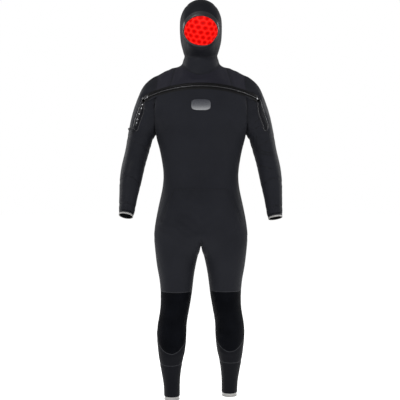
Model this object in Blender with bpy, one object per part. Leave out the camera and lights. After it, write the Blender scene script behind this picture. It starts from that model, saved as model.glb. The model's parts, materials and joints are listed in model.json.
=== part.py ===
"""Hooded semi-dry wetsuit with a horizontal chest zip, as an assembly of neoprene panels.

Metres, +Z up, front towards -Y, the wearer's left at +X. The origin is at the base of the
wearer's neck. The outside of the suit is one cage of rings and columns: torso rings, two leg
tubes, two sleeve tubes and a hood tube. Each panel is a set of cage faces given its neoprene
thickness inwards, and stops half a seam gap short of its neighbours.
"""
import math

import bmesh
import bpy
from mathutils import Matrix, Vector
from mathutils.bvhtree import BVHTree

# ---------------------------------------------------------------- driving dimensions
NEOPRENE = 0.007            # thickness of the suit's panels
SEAM_GAP = 0.0009           # distance between two neighbouring panels
TORSO_COLS = 32             # columns round the torso: 16 in front, 16 behind
SHEET_ROWS = 7              # rows of the chest sheet, from the armpit up to the neck
ZIP_ROW = 4                 # the zip band lies between this row and the next
SLEEVE_COLS = 14
LEG_COLS = 20
HOOD_COLS = 16

ZIP_TOP = Vector((0, -0.131, -0.083))      # middle of the zip, at the chest
ZIP_DROP = Vector((0, 0.078, -0.052))      # how far its ends lie behind and below the middle
ZIP_HALF_CHORD = 0.245
# the zip lies on a circular arc in a tilted plane, through its middle and its two ends
ZIP_RADIUS = (ZIP_HALF_CHORD ** 2 + ZIP_DROP.length_squared) / (2 * ZIP_DROP.length)
ZIP_HALF_ANGLE = math.asin(ZIP_HALF_CHORD / ZIP_RADIUS)
ZIP_BAND = 0.034            # height of the zip band between its two seams
FOREARM_TILT = {1: 17.0, -1: 24.0}         # forward bend of each forearm at rest, degrees
LEG_FORWARD = {1: 0.0, -1: 0.07}           # how far each foot stands forward

ARMHOLE_X = 0.196
ELBOW_Z = -0.400

# torso outline at each level: height, half-width, front depth, back depth
TORSO = [(-0.289, 0.196, 0.132, 0.118), (-0.345, 0.181, 0.128, 0.114),
         (-0.407, 0.169, 0.121, 0.106), (-0.465, 0.163, 0.115, 0.099),
         (-0.523, 0.168, 0.112, 0.099), (-0.570, 0.178, 0.112, 0.108),
         (-0.617, 0.188, 0.112, 0.122), (-0.664, 0.197, 0.111, 0.130),
         (-0.704, 0.2025, 0.108, 0.128), (-0.736, 0.204, 0.104, 0.122)]
WAIST_RING, HIP_RING = 4, 7

# leg outline: height, centre x, half-width, front depth, back depth, centre y
LEG = [(-0.818, 0.1055, 0.0930, 0.094, 0.098, 0.002), (-0.870, 0.1080, 0.0840, 0.088, 0.090, 0.004),
       (-0.920, 0.1075, 0.0755, 0.082, 0.082, 0.006), (-0.970, 0.1080, 0.0700, 0.077, 0.073, 0.008),
       (-1.020, 0.1110, 0.0655, 0.073, 0.066, 0.010), (-1.070, 0.1175, 0.0633, 0.070, 0.064, 0.014),
       (-1.120, 0.1265, 0.0640, 0.066, 0.068, 0.020), (-1.165, 0.1288, 0.0653, 0.064, 0.073, 0.026),
       (-1.212, 0.1283, 0.0628, 0.061, 0.072, 0.030), (-1.252, 0.1297, 0.0565, 0.056, 0.065, 0.032),
       (-1.290, 0.1312, 0.0490, 0.050, 0.057, 0.034), (-1.340, 0.1302, 0.0410, 0.044, 0.049, 0.036),
       (-1.385, 0.1280, 0.0360, 0.041, 0.046, 0.036), (-1.430, 0.1270, 0.0350, 0.040, 0.046, 0.036)]
KNEE_TOP_RING, KNEE_BOTTOM_RING, ANKLE_RING = 3, 8, 10
LEG_SEAL_END = -1.448
KNEE_EDGE = {"front": -0.030, "side": 0.042, "back": 0.055}   # lower edge of the pad, from its ring

# sleeve outline: outer (lateral) and inner (medial) edge of each ring as (x, z), half-depth
SLEEVE = [((0.241, -0.067), (0.203, -0.297), 0.082), ((0.270, -0.118), (0.208, -0.305), 0.077),
          ((0.294, -0.180), (0.213, -0.316), 0.069), ((0.3105, -0.243), (0.2175, -0.330), 0.064),
          ((0.321, -0.300), (0.224, -0.352), 0.061), ((0.3305, -0.355), (0.2345, -0.387), 0.058),
          ((0.342, -0.405), (0.246, -0.431), 0.056), ((0.350, -0.455), (0.2545, -0.479), 0.053),
          ((0.353, -0.506), (0.2640, -0.526), 0.049), ((0.353, -0.560), (0.2740, -0.575), 0.043),
          ((0.3525, -0.608), (0.2815, -0.620), 0.038), ((0.3520, -0.640), (0.2870, -0.650), 0.035)]
ELBOW_TOP_RING, ELBOW_BOTTOM_RING, CUFF_RING = 4, 8, 10   # indices into SLEEVE
SLEEVE_SEAL_END = 0.016     # how far the grey seal stands out of the cuff

# hood profiles from the collar to the face opening: throat and chin, nape and crown, and side
HOOD_FRONT = [(-0.067, 0.044), (-0.069, 0.050), (-0.0725, 0.0545), (-0.078, 0.0585), (-0.085, 0.0635),
              (-0.0915, 0.0695), (-0.097, 0.077), (-0.1005, 0.085), (-0.102, 0.091), (-0.102, 0.096),
              (-0.101, 0.1016)]
HOOD_BACK = [(0.0745, 0.054), (0.078, 0.082), (0.092, 0.115), (0.116, 0.152), (0.127, 0.195),
             (0.114, 0.246), (0.070, 0.284), (0.008, 0.298), (-0.053, 0.283), (-0.086, 0.2475),
             (-0.096, 0.2305)]
HOOD_SIDE = [(0.0725, 0.000, 0.052), (0.0765, 0.002, 0.070), (0.083, 0.006, 0.093),
             (0.0885, 0.012, 0.120), (0.091, 0.014, 0.150), (0.0915, 0.008, 0.180),
             (0.0905, -0.010, 0.198), (0.088, -0.030, 0.200), (0.0835, -0.052, 0.188),
             (0.0795, -0.066, 0.174), (0.0756, -0.074, 0.166)]
HOOD_THICKNESS = 0.005
LINER_THICKNESS = 0.0015
NECK_RINGS = [(0.018, 0.083, 0.082, 0.076, 0.050), (0.036, 0.0765, 0.073, 0.072, 0.022),
              (0.052, 0.0725, 0.067, 0.0745, 0.008)]   # side z, half-width, front, back, front drop

# zip parts, measured out from the suit's surface and up from the zip's centre line
CHAIN_HALF, CHAIN_IN, CHAIN_OUT = 0.0024, -0.0024, 0.0004
CHAIN_PITCH = 0.008
TAPE_FROM, TAPE_TO, TAPE_IN, TAPE_OUT = 0.0028, 0.0163, -0.0032, -0.0014
FLAP_FROM, FLAP_TO, FLAP_IN, FLAP_OUT = 0.0058, 0.0163, -0.0009, 0.0013
UNDER_FLAP_IN, UNDER_FLAP_OUT, UNDER_FLAP_HALF = -0.0060, -0.0040, 0.0128
STOP_LENGTH = 0.006
SLIDER_LENGTH, SLIDER_HALF, SLIDER_OUT = 0.016, 0.0052, 0.0036
SLIDER_LIP, SLIDER_LIP_IN, SLIDER_ROOF_IN = 0.0033, -0.0008, 0.0009
TAB_LENGTH, TAB_WIDTH, TAB_IN, TAB_OUT = 0.024, 0.009, 0.0043, 0.0059
LEASH_WIDTH, LEASH_IN, LEASH_OUT = 0.011, 0.0018, 0.0036
TOGGLE_RADIUS, TOGGLE_LENGTH = 0.006, 0.028
TOGGLE_DROOP = 0.35         # how far the toggle hangs down as it points away from the sleeve

BADGE_CENTRE = (0.0, -0.163)
BADGE_WIDTH, BADGE_HEIGHT, BADGE_THICKNESS = 0.083, 0.046, 0.0016

# ---------------------------------------------------------------- colours
MATERIALS = {
    "neoprene": ((0.016, 0.017, 0.021), 0.75, 0.0), "smooth_rubber": ((0.010, 0.010, 0.012), 0.35, 0.0),
    "knee_rubber": ((0.006, 0.006, 0.007), 0.60, 0.0), "seal": ((0.36, 0.35, 0.34), 0.60, 0.0),
    "liner": ((0.80, 0.015, 0.01), 0.70, 0.0), "metal": ((0.55, 0.56, 0.58), 0.30, 1.0),
    "badge": ((0.16, 0.165, 0.18), 0.35, 0.0)}


# ---------------------------------------------------------------- scene helpers
def clear_scene():
    for obj in list(bpy.data.objects):
        bpy.data.objects.remove(obj, do_unlink=True)


def make_collection(name):
    group = bpy.data.collections.new(name)
    bpy.context.scene.collection.children.link(group)
    return group


def material(name):
    found = bpy.data.materials.get(name)
    if found:
        return found
    colour, roughness, metallic = MATERIALS[name]
    made = bpy.data.materials.new(name)
    made.use_nodes = True
    shader = made.node_tree.nodes["Principled BSDF"]
    shader.inputs["Base Color"].default_value = (*colour, 1)
    shader.inputs["Roughness"].default_value = roughness
    shader.inputs["Metallic"].default_value = metallic
    return made


def add_object(name, mesh, slot):
    mesh.materials.append(material(slot))
    obj = bpy.data.objects.new(name, mesh)
    GROUP.objects.link(obj)
    return obj


def add_bmesh(name, bm, slot, smooth=True):
    bmesh.ops.recalc_face_normals(bm, faces=bm.faces)
    mesh = bpy.data.meshes.new(name)
    bm.to_mesh(mesh)
    bm.free()
    if smooth:
        mesh.shade_smooth()
        mesh.set_sharp_from_angle(angle=math.radians(40))
    return add_object(name, mesh, slot)


# ---------------------------------------------------------------- small maths
def lerp(a, b, t):
    return a + (b - a) * t


def smooth(t):
    t = min(max(t, 0.0), 1.0)
    return t * t * (3 - 2 * t)


def catmull(points, t):
    """Point at parameter t (0 to len-1) on a smooth curve through the points."""
    last = len(points) - 1
    i = min(max(int(t), 0), last - 1)
    u = t - i
    p1, p2 = points[i], points[i + 1]
    p0 = points[i - 1] if i > 0 else p1 * 2 - p2
    p3 = points[i + 2] if i + 2 <= last else p2 * 2 - p1
    return 0.5 * (2 * p1 + (p2 - p0) * u + (2 * p0 - 5 * p1 + 4 * p2 - p3) * u ** 2
                  + (3 * p1 - p0 - 3 * p2 + p3) * u ** 3)


def zip_frame():
    """Unit vectors of the zip's plane: across, from the middle towards the centre, and normal."""
    across = Vector((1, 0, 0))
    inward = ZIP_DROP.normalized()
    return across, inward, across.cross(inward).normalized()


def zip_point(angle, out=0.0, up=0.0):
    """Point on the zip's arc; out is away from the body, up is towards the neck."""
    across, inward, normal = zip_frame()
    radial = across * math.sin(angle) - inward * math.cos(angle)
    centre = ZIP_TOP + inward * ZIP_RADIUS
    return centre + radial * (ZIP_RADIUS + out) + normal * up


# ---------------------------------------------------------------- the cage
class Cage:
    """Vertices and quads of the suit's outer surface, with every quad's region and address."""

    def __init__(self):
        self.verts, self.faces, self.keys = [], [], []

    def add(self, point):
        self.verts.append(Vector(point))
        return len(self.verts) - 1

    def quad(self, region, row, col, ids):
        self.faces.append(ids)
        self.keys.append((region, row, col))

    def strip(self, region, row, lower, upper, closed):
        """Quads between two rings or rows of the same length."""
        count = len(lower)
        for col in range(count if closed else count - 1):
            nxt = (col + 1) % count
            self.quad(region, row, col, (lower[col], lower[nxt], upper[nxt], upper[col]))


def torso_angle(col):
    """Angle of a torso column, from the wearer's right side round the front."""
    return math.pi * (1 - col / 16)


def torso_point(level, col, diagonal):
    z, width, front, back = level
    angle = torso_angle(col)
    quarter = abs(math.cos(angle))
    bump = math.sin(math.acos(quarter) * 2) if quarter < 1 else 0.0
    shift = diagonal * abs(bump) * (1 if math.cos(angle) < 0 else -1)
    if col < 16:
        angle -= shift
    depth = front if col <= 16 else back
    x = width * math.cos(angle)
    y = -depth * math.sin(angle)
    flat = 1 + 0.10 * abs(math.sin(2 * angle))
    return Vector((x * flat ** 0.5, y * flat, z))


def diagonal_shift(z):
    """Turn of the front columns that carries the hip seam from the waist out to the hip."""
    waist, hip, rib = TORSO[WAIST_RING][0], TORSO[HIP_RING][0], TORSO[1][0]
    if z > waist:
        return 0.27 * smooth((rib - z) / (rib - waist))
    return 0.27 * smooth((z - hip) / (waist - hip))


def neck_point(ring, col, cols=HOOD_COLS):
    """Point on a neck ring; column 0 is the wearer's right side, going round the front."""
    side_z, width, front, back, drop = ring
    angle = math.pi * (1 - 2 * col / cols)
    depth = front if math.sin(angle) >= 0 else back
    y = -depth * math.sin(angle)
    z = side_z - drop * max(math.sin(angle), 0) ** 1.5 + 0.25 * drop * max(-math.sin(angle), 0)
    return Vector((width * math.cos(angle), y, z))


def shoulder_line(side, step):
    """Point on the shoulder's crest, step 0 at the sleeve to 4 at the neck."""
    crest = [Vector((0.190, 0.012, -0.029)), Vector((0.166, 0.012, -0.016)),
             Vector((0.140, 0.010, -0.005)), Vector((0.112, 0.006, 0.006)),
             neck_point(NECK_RINGS[0], 8)]
    point = crest[step].copy()
    point.x *= side
    return point


def armhole_point(row, front):
    """The sleeve seam on the wearer's left, from the armpit (row 0) to the shoulder (row 7)."""
    bottom = torso_point(TORSO[0], 16, 0)
    top = shoulder_line(1, 0)
    heights = [0, 0.17, 0.36, 0.55, 0.71, 0.84, 0.93, 1]
    t = heights[row]
    z = lerp(bottom.z, top.z, t)
    bulge = math.sin(math.pi * t ** 0.85) ** 0.8 if 0 < t < 1 else 0.0
    y = lerp(bottom.y, top.y, t) + (-0.088 if front else 0.082) * bulge
    x = lerp(bottom.x, top.x, t) + 0.006 * math.sin(math.pi * t) * (1 if front else -1)
    return Vector((x, y, z))


def front_edge(row):
    """Front armhole point; the zip rows sit exactly on the zip's arc."""
    if row in (ZIP_ROW, ZIP_ROW + 1):
        angle = math.asin(ARMHOLE_X / ZIP_RADIUS)
        return zip_point(angle, 0, (-0.5 if row == ZIP_ROW else 0.5) * ZIP_BAND)
    return armhole_point(row, True)


def build_torso(cage):
    """Torso rings from the armpit down to the crotch; returns them from the top."""
    rings = []
    for level in TORSO:
        shift = diagonal_shift(level[0])
        rings.append([cage.add(torso_point(level, col, shift)) for col in range(TORSO_COLS)])
    for row in range(len(rings) - 1):
        cage.strip("torso", row, rings[row + 1], rings[row], True)
    return rings


def mirror_x(point):
    return Vector((-point.x, point.y, point.z))


def build_sheet(cage, region, top_ring, neck, shoulders, front):
    """Chest or back sheet: 17 columns by 8 rows between the armpits, the shoulders and the neck."""
    base = [top_ring[c % TORSO_COLS] for c in (range(17) if front else range(32, 15, -1))]
    grid = [base]
    tops = [shoulders[-1][s] for s in range(4)] + neck + [shoulders[1][s] for s in range(3, -1, -1)]
    edges = {}
    for row in range(1, SHEET_ROWS):
        edges[row] = front_edge(row) if front else armhole_point(row, False)
    for row in range(1, SHEET_ROWS):
        line = []
        for col in range(17):
            if col in (0, 16):
                point = edges[row] if col == 16 else mirror_x(edges[row])
            else:
                side = 1 if col > 8 else -1
                away = abs(col - 8) / 8
                low = cage.verts[base[8]]
                top = cage.verts[tops[col]]
                middle_top = cage.verts[tops[8]]
                point = sheet_point(row, side, away, (low, middle_top, top), edges, front)
            line.append(cage.add(point))
        grid.append(line)
    grid.append(tops)
    for row in range(SHEET_ROWS):
        if front:
            cage.strip(region, row, grid[row], grid[row + 1], False)
        else:
            cage.strip(region, row, grid[row + 1], grid[row], False)
    return grid


def quarter_ellipse(middle, edge, side, away):
    """Point between the middle of a row and its edge at the armhole, on a quarter ellipse."""
    angle = math.pi / 2 * away
    reach, depth = math.sin(angle), math.cos(angle)
    return Vector((side * edge.x * reach, edge.y + (middle.y - edge.y) * depth,
                   edge.z + (middle.z - edge.z) * depth ** 0.8))


def zip_row_point(row, side, away):
    angle = side * math.asin(ARMHOLE_X / ZIP_RADIUS) * away ** 0.88
    return zip_point(angle, 0, (-0.5 if row == ZIP_ROW else 0.5) * ZIP_BAND)


def sheet_point(row, side, away, ends, edges, front):
    """Point inside the chest or back sheet."""
    low, middle_top, top = ends
    under = Vector((0, -TORSO[1][2] if front else TORSO[1][3], TORSO[1][0]))
    if front:
        if row in (ZIP_ROW, ZIP_ROW + 1):
            return zip_row_point(row, side, away)
        if row > ZIP_ROW + 1:
            lower, upper = zip_row_point(ZIP_ROW, side, away), zip_row_point(ZIP_ROW + 1, side, away)
            point = catmull([lower, upper, top], 1.5)
            point.y -= 0.006 * (1 - away)
            return point
        middle = catmull([under, low, zip_row_point(ZIP_ROW, side, 0)], 1 + row / ZIP_ROW)
        return quarter_ellipse(middle, edges[row], side, away)
    blade = Vector((0, 0.116, -0.105))
    if row <= ZIP_ROW:
        middle = catmull([under, low, blade, middle_top], 1 + row / ZIP_ROW)
        return quarter_ellipse(middle, edges[row], side, away)
    before = quarter_ellipse(catmull([under, low, blade], 1.75), edges[ZIP_ROW - 1], side, away)
    start = quarter_ellipse(blade, edges[ZIP_ROW], side, away)
    return catmull([before, start, top], 1 + (row - ZIP_ROW) / (SHEET_ROWS - ZIP_ROW))


def leg_centre_y(z, side, base):
    forward = LEG_FORWARD[side] * smooth((-0.74 - z) / 0.70)
    return base - forward


def knee_wave(ring, angle):
    """Shifts the rings near the knee pad's lower edge so that it is a U, low in front."""
    shares = {-3: 0.08, -2: 0.30, -1: 0.62, 0: 1.0, 1: 0.45, 2: 0.10}
    share = shares.get(ring - KNEE_BOTTOM_RING, 0.0)
    front = max(math.sin(angle), 0)
    behind = max(-math.sin(angle), 0)
    return share * (lerp(KNEE_EDGE["side"], KNEE_EDGE["front"], front ** 1.2)
                    + (KNEE_EDGE["back"] - KNEE_EDGE["side"]) * behind)


def leg_at(z, side):
    """Leg section at any height: centre and sizes, read along the outline's levels."""
    levels = LEG
    if z >= levels[0][0]:
        row = levels[0]
        return row[1] * side, leg_centre_y(z, side, row[5]), row[2], row[3], row[4]
    for a, b in zip(levels, levels[1:]):
        if z >= b[0]:
            t = (a[0] - z) / (a[0] - b[0])
            mix = [lerp(a[i], b[i], t) for i in range(6)]
            return mix[1] * side, leg_centre_y(z, side, mix[5]), mix[2], mix[3], mix[4]
    row = levels[-1]
    return row[1] * side, leg_centre_y(z, side, row[5]), row[2], row[3], row[4]


def leg_point(z, side, angle):
    cx, cy, width, front, back = leg_at(z, side)
    depth = front if math.sin(angle) >= 0 else back
    return Vector((cx + side * width * math.cos(angle), cy - depth * math.sin(angle), z))


def build_leg(cage, side, hip_ring, gusset):
    """Leg tube; column 0 starts at the front centre and goes round the outside."""
    if side > 0:
        outer = [hip_ring[8 + i] for i in range(17)]
    else:
        outer = [hip_ring[(8 - i) % TORSO_COLS] for i in range(17)]
    first = outer + gusset
    rings = [first]
    transition = []
    for col in range(LEG_COLS):
        start = cage.verts[first[col]]
        target = leg_point(LEG[0][0], side, math.radians(18 * (8 - col)))
        point = lerp(start, target, 0.5)
        point.x = lerp(start.x, target.x, 0.42)
        transition.append(cage.add(point))
    rings.append(transition)
    for index, level in enumerate(LEG):
        ring = []
        for col in range(LEG_COLS):
            angle = math.radians(18 * (8 - col))
            z = level[0] + knee_wave(index, angle)
            ring.append(cage.add(leg_point(z, side, angle)))
        rings.append(ring)
    for row in range(len(rings) - 1):
        pair = (rings[row + 1], rings[row]) if side > 0 else (rings[row], rings[row + 1])
        cage.strip("leg_left" if side > 0 else "leg_right", row, pair[0], pair[1], True)
    return rings


def bend_forearm(point, side, level_z):
    """Turns the lower sleeve forwards about the elbow, gradually across the elbow's rings."""
    share = smooth((ELBOW_Z + 0.075 - level_z) / 0.15)
    turn = math.radians(FOREARM_TILT[side]) * share
    pivot = Vector((0, 0.004, ELBOW_Z))
    return Matrix.Rotation(-turn, 3, "X") @ (point - pivot) + pivot


def elbow_wave(ring, front):
    """The elbow panel's lower seam arches up in front."""
    if ring == ELBOW_BOTTOM_RING:
        return 0.022 * front ** 2
    if ring in (ELBOW_BOTTOM_RING - 1, ELBOW_BOTTOM_RING + 1):
        return 0.012 * front ** 2
    return 0.0


def build_sleeve(cage, side, front_col, back_col):
    """Sleeve tube; column 0 is the inside of the arm, 1 to 6 the front, 7 the outside."""
    ring0 = front_col + back_col[-2:0:-1]
    rings = [ring0]
    for index, (outer, inner, depth) in enumerate(SLEEVE):
        high, low = Vector((outer[0], 0.004, outer[1])), Vector((inner[0], 0.004, inner[1]))
        centre = (high + low) / 2
        half = (high - low) / 2
        ring = []
        for col in range(SLEEVE_COLS):
            angle = math.pi * (1 - 2 * col / SLEEVE_COLS)
            front = math.sin(angle)
            point = centre + half * math.cos(angle) + Vector((0, -depth * front, 0))
            point.z += elbow_wave(index, max(front, 0))
            if index == 0 and col in (ZIP_ROW, ZIP_ROW + 1):
                point = zip_point(ZIP_HALF_ANGLE, 0, (-0.5 if col == ZIP_ROW else 0.5) * ZIP_BAND)
            level = point.z
            point = bend_forearm(point, 1 if side > 0 else -1, level)
            point.x *= side
            ring.append(cage.add(point))
        rings.append(ring)
    for row in range(len(rings) - 1):
        pair = (rings[row], rings[row + 1]) if side > 0 else (rings[row + 1], rings[row])
        cage.strip("sleeve_left" if side > 0 else "sleeve_right", row, pair[0], pair[1], True)
    return rings


def hood_point(row, col):
    """Hood vertex: a quarter ellipse between the side profile and the front or back profile."""
    angle = math.pi * (1 - 2 * col / HOOD_COLS)
    side = Vector(HOOD_SIDE[row])
    middle = Vector((0, side.y, side.z))
    front = Vector((0, *HOOD_FRONT[row]))
    back = Vector((0, *HOOD_BACK[row]))
    end = front if math.sin(angle) >= 0 else back
    reach = abs(math.sin(angle))
    wide = abs(math.cos(angle))
    point = middle + (end - middle) * reach
    point.x = side.x * wide * (1 if math.cos(angle) > 0 else -1)
    return point


def build_hood(cage, base):
    """Neck rings, then the hood tube up to the face opening."""
    rings = [base]
    for ring in NECK_RINGS[1:]:
        rings.append([cage.add(neck_point(ring, col)) for col in range(HOOD_COLS)])
    for row in range(1, len(HOOD_SIDE)):
        rings.append([cage.add(hood_point(row, col)) for col in range(HOOD_COLS)])
    for row in range(len(rings) - 1):
        cage.strip("neck" if row < 2 else "hood", row if row < 2 else row - 2,
                   rings[row], rings[row + 1], True)
    return rings


def build_cage():
    cage = Cage()
    torso = build_torso(cage)
    neck = [cage.add(neck_point(NECK_RINGS[0], col)) for col in range(HOOD_COLS)]
    shoulders = {}
    for side in (1, -1):
        shoulders[side] = [cage.add(shoulder_line(side, step)) for step in range(4)]
    front = build_sheet(cage, "chest", torso[0], neck[0:9], shoulders, True)
    back_neck = [neck[0]] + neck[:7:-1]
    back = build_sheet(cage, "back", torso[0], back_neck, shoulders, False)
    for side in (1, -1):
        edge = 16 if side > 0 else 0
        front_col = [line[edge] for line in front]
        back_col = [line[edge] for line in back]
        SLEEVE_RINGS[side] = build_sleeve(cage, side, front_col, back_col)
    hip = torso[-1]
    gusset = []
    for step, (y, drop) in enumerate(((0.070, 0.030), (0.010, 0.040), (-0.055, 0.030))):
        gusset.append(cage.add((0, y, TORSO[-1][0] - drop)))
    for side in (1, -1):
        LEG_RINGS[side] = build_leg(cage, side, hip, gusset)
    build_hood(cage, neck)
    return cage


# ---------------------------------------------------------------- panels made from the cage
def outward_cage(cage):
    """The cage as one mesh with its faces turned outwards, and the normal at every vertex."""
    bm = bmesh.new()
    verts = [bm.verts.new(v) for v in cage.verts]
    for ids in cage.faces:
        bm.faces.new([verts[i] for i in ids])
    bmesh.ops.recalc_face_normals(bm, faces=bm.faces)
    bm.faces.ensure_lookup_table()
    bm.normal_update()
    chest = next(i for i, key in enumerate(cage.keys) if key == ("chest", 2, 8))
    if bm.faces[chest].normal.y > 0:
        bmesh.ops.reverse_faces(bm, faces=bm.faces)
        bm.normal_update()
    bm.verts.ensure_lookup_table()
    bm.faces.ensure_lookup_table()
    return bm


def seam_inset(faces):
    """Shift of every boundary vertex into its panel, by half the seam gap from each edge."""
    inward = {}
    for face in faces:
        for loop in face.loops:
            shared = [f for f in loop.edge.link_faces if f in faces]
            if len(shared) == 1:
                start, end = loop.vert, loop.link_loop_next.vert
                across = face.normal.cross(end.co - start.co).normalized()
                inward.setdefault(start, []).append(across)
                inward.setdefault(end, []).append(across)
    shifts = {}
    for vert, sides in inward.items():
        total = sum(sides, Vector())
        spread = 1 + (sides[0].dot(sides[1]) if len(sides) == 2 else 0.0)
        shifts[vert] = total * (SEAM_GAP / 2) / max(spread, 0.5)
    return shifts


def halves(face):
    """A cage quad as two triangles, cut from its first-made corner so that every layer matches."""
    start = min(range(4), key=lambda i: face.verts[i].index)
    a, b, c, d = (face.verts[(start + i) % 4] for i in range(4))
    return ((a, b, c), (a, c, d))


def panel(name, slot, picked, thickness=NEOPRENE, sink=0.0):
    """One closed panel: the picked cage faces, sunk and thickened inwards along the normals."""
    faces = {BODY.faces[i] for i, key in enumerate(CAGE.keys) if picked(*key)}
    shifts = seam_inset(faces)
    bm = bmesh.new()
    outer, inner = {}, {}
    for vert in {v for face in faces for v in face.verts}:
        place = vert.co + shifts.get(vert, Vector())
        outer[vert] = bm.verts.new(place - vert.normal * sink)
        inner[vert] = bm.verts.new(place - vert.normal * (sink + thickness))
    for face in sorted(faces, key=lambda f: f.index):
        for corners in halves(face):
            bm.faces.new([outer[v] for v in corners])
            bm.faces.new([inner[v] for v in reversed(corners)])
        for loop in face.loops:
            if len([f for f in loop.edge.link_faces if f in faces]) == 1:
                start, end = loop.vert, loop.link_loop_next.vert
                if start.index < end.index:      # both neighbours split their twisted walls alike
                    bm.faces.new([outer[end], outer[start], inner[end]])
                    bm.faces.new([outer[start], inner[start], inner[end]])
                else:
                    bm.faces.new([outer[end], outer[start], inner[start]])
                    bm.faces.new([outer[end], inner[start], inner[end]])
    return add_bmesh(name, bm, slot)


def ring_tube(name, slot, rings):
    """Closed tube wall from a list of (outer points, inner points) sections."""
    bm = bmesh.new()
    made = []
    for outer, inner in rings:
        made.append(([bm.verts.new(p) for p in outer], [bm.verts.new(p) for p in inner]))
    count = len(rings[0][0])
    for i in range(count):
        j = (i + 1) % count
        for (o1, n1), (o2, n2) in zip(made, made[1:]):
            bm.faces.new([o1[i], o1[j], o2[j], o2[i]])
            bm.faces.new([n1[j], n1[i], n2[i], n2[j]])
        for o, n in (made[0], made[-1]):
            bm.faces.new([o[i], o[j], n[j], n[i]])
    return add_bmesh(name, bm, slot)


def sweep(name, slot, sections):
    """Closed bar through a list of sections with the same number of points."""
    bm = bmesh.new()
    rows = [[bm.verts.new(p) for p in section] for section in sections]
    count = len(rows[0])
    for a, b in zip(rows, rows[1:]):
        for i in range(count):
            j = (i + 1) % count
            bm.faces.new([a[i], a[j], b[j], b[i]])
    bm.faces.new(rows[0])
    bm.faces.new(rows[-1][::-1])
    return add_bmesh(name, bm, slot, smooth=False)


def arc_section(angle, corners):
    return [zip_point(angle, out, up) for out, up in corners]


def arc_bar(name, slot, start, end, corners, steps):
    """Bar along the zip's arc with a section given as (out, up) corners."""
    angles = [lerp(start, end, i / steps) for i in range(steps + 1)]
    return sweep(name, slot, [arc_section(angle, corners) for angle in angles])


# ---------------------------------------------------------------- which faces make which panel
def between(value, low, high):
    return low <= value <= high


def in_hood(cols, rows):
    return lambda region, row, col: region == "hood" and col in cols and row in rows


def build_hood_panels():
    panel_rows = range(0, 9)
    cuts = {"hood_crown_panel": (10, 11, 12, 13), "hood_side_panel_right": (14, 15, 0, 1),
            "hood_side_panel_left": (6, 7, 8, 9), "hood_chin_panel": (2, 3, 4, 5)}
    for name, cols in cuts.items():
        panel(name, "neoprene", in_hood(cols, panel_rows), HOOD_THICKNESS)
    everything = range(HOOD_COLS)
    panel("hood_face_seal", "smooth_rubber", in_hood(everything, (9,)), HOOD_THICKNESS)
    panel("hood_liner", "liner", in_hood(everything, range(0, 10)), LINER_THICKNESS,
          HOOD_THICKNESS + 0.0008)
    panel("neck_collar", "neoprene", lambda region, row, col: region == "neck", HOOD_THICKNESS)


def build_torso_panels():
    def chest_panel(region, row, col):
        if region == "chest":
            return row < ZIP_ROW
        if region != "torso" or not between(col, 1, 14):
            return False
        return row < WAIST_RING or (row < HIP_RING and (col < 3 or col > 12))

    def abdomen(region, row, col):
        if region != "torso" or not between(col, 1, 14):
            return False
        return row >= HIP_RING or (row >= WAIST_RING and between(col, 3, 12))

    def shoulder(cols):
        return lambda region, row, col: region in ("chest", "back") and row > ZIP_ROW and col in cols

    def gusset(region, row, col):
        return region.startswith("leg") and row < 2 and col >= 16

    panel("chest_panel", "neoprene", chest_panel)
    panel("abdomen_panel", "neoprene", abdomen)
    panel("side_panel_left", "neoprene", lambda r, row, col: r == "torso" and col in (15, 16))
    panel("side_panel_right", "neoprene", lambda r, row, col: r == "torso" and col in (31, 0))
    panel("back_panel", "neoprene", lambda r, row, col: (r == "back" and row <= ZIP_ROW) or
          (r == "torso" and between(col, 17, 30) and row < WAIST_RING))
    panel("seat_panel", "neoprene",
          lambda r, row, col: r == "torso" and between(col, 17, 30) and row >= WAIST_RING)
    panel("crotch_gusset", "neoprene", gusset)
    panel("yoke_front", "neoprene",
          lambda r, row, col: r == "chest" and row > ZIP_ROW and between(col, 3, 12))
    panel("yoke_back", "neoprene",
          lambda r, row, col: r == "back" and row > ZIP_ROW and between(col, 3, 12))
    panel("shoulder_panel_right", "neoprene", shoulder((0, 1, 2)))
    panel("shoulder_panel_left", "neoprene", shoulder((13, 14, 15)))


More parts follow.
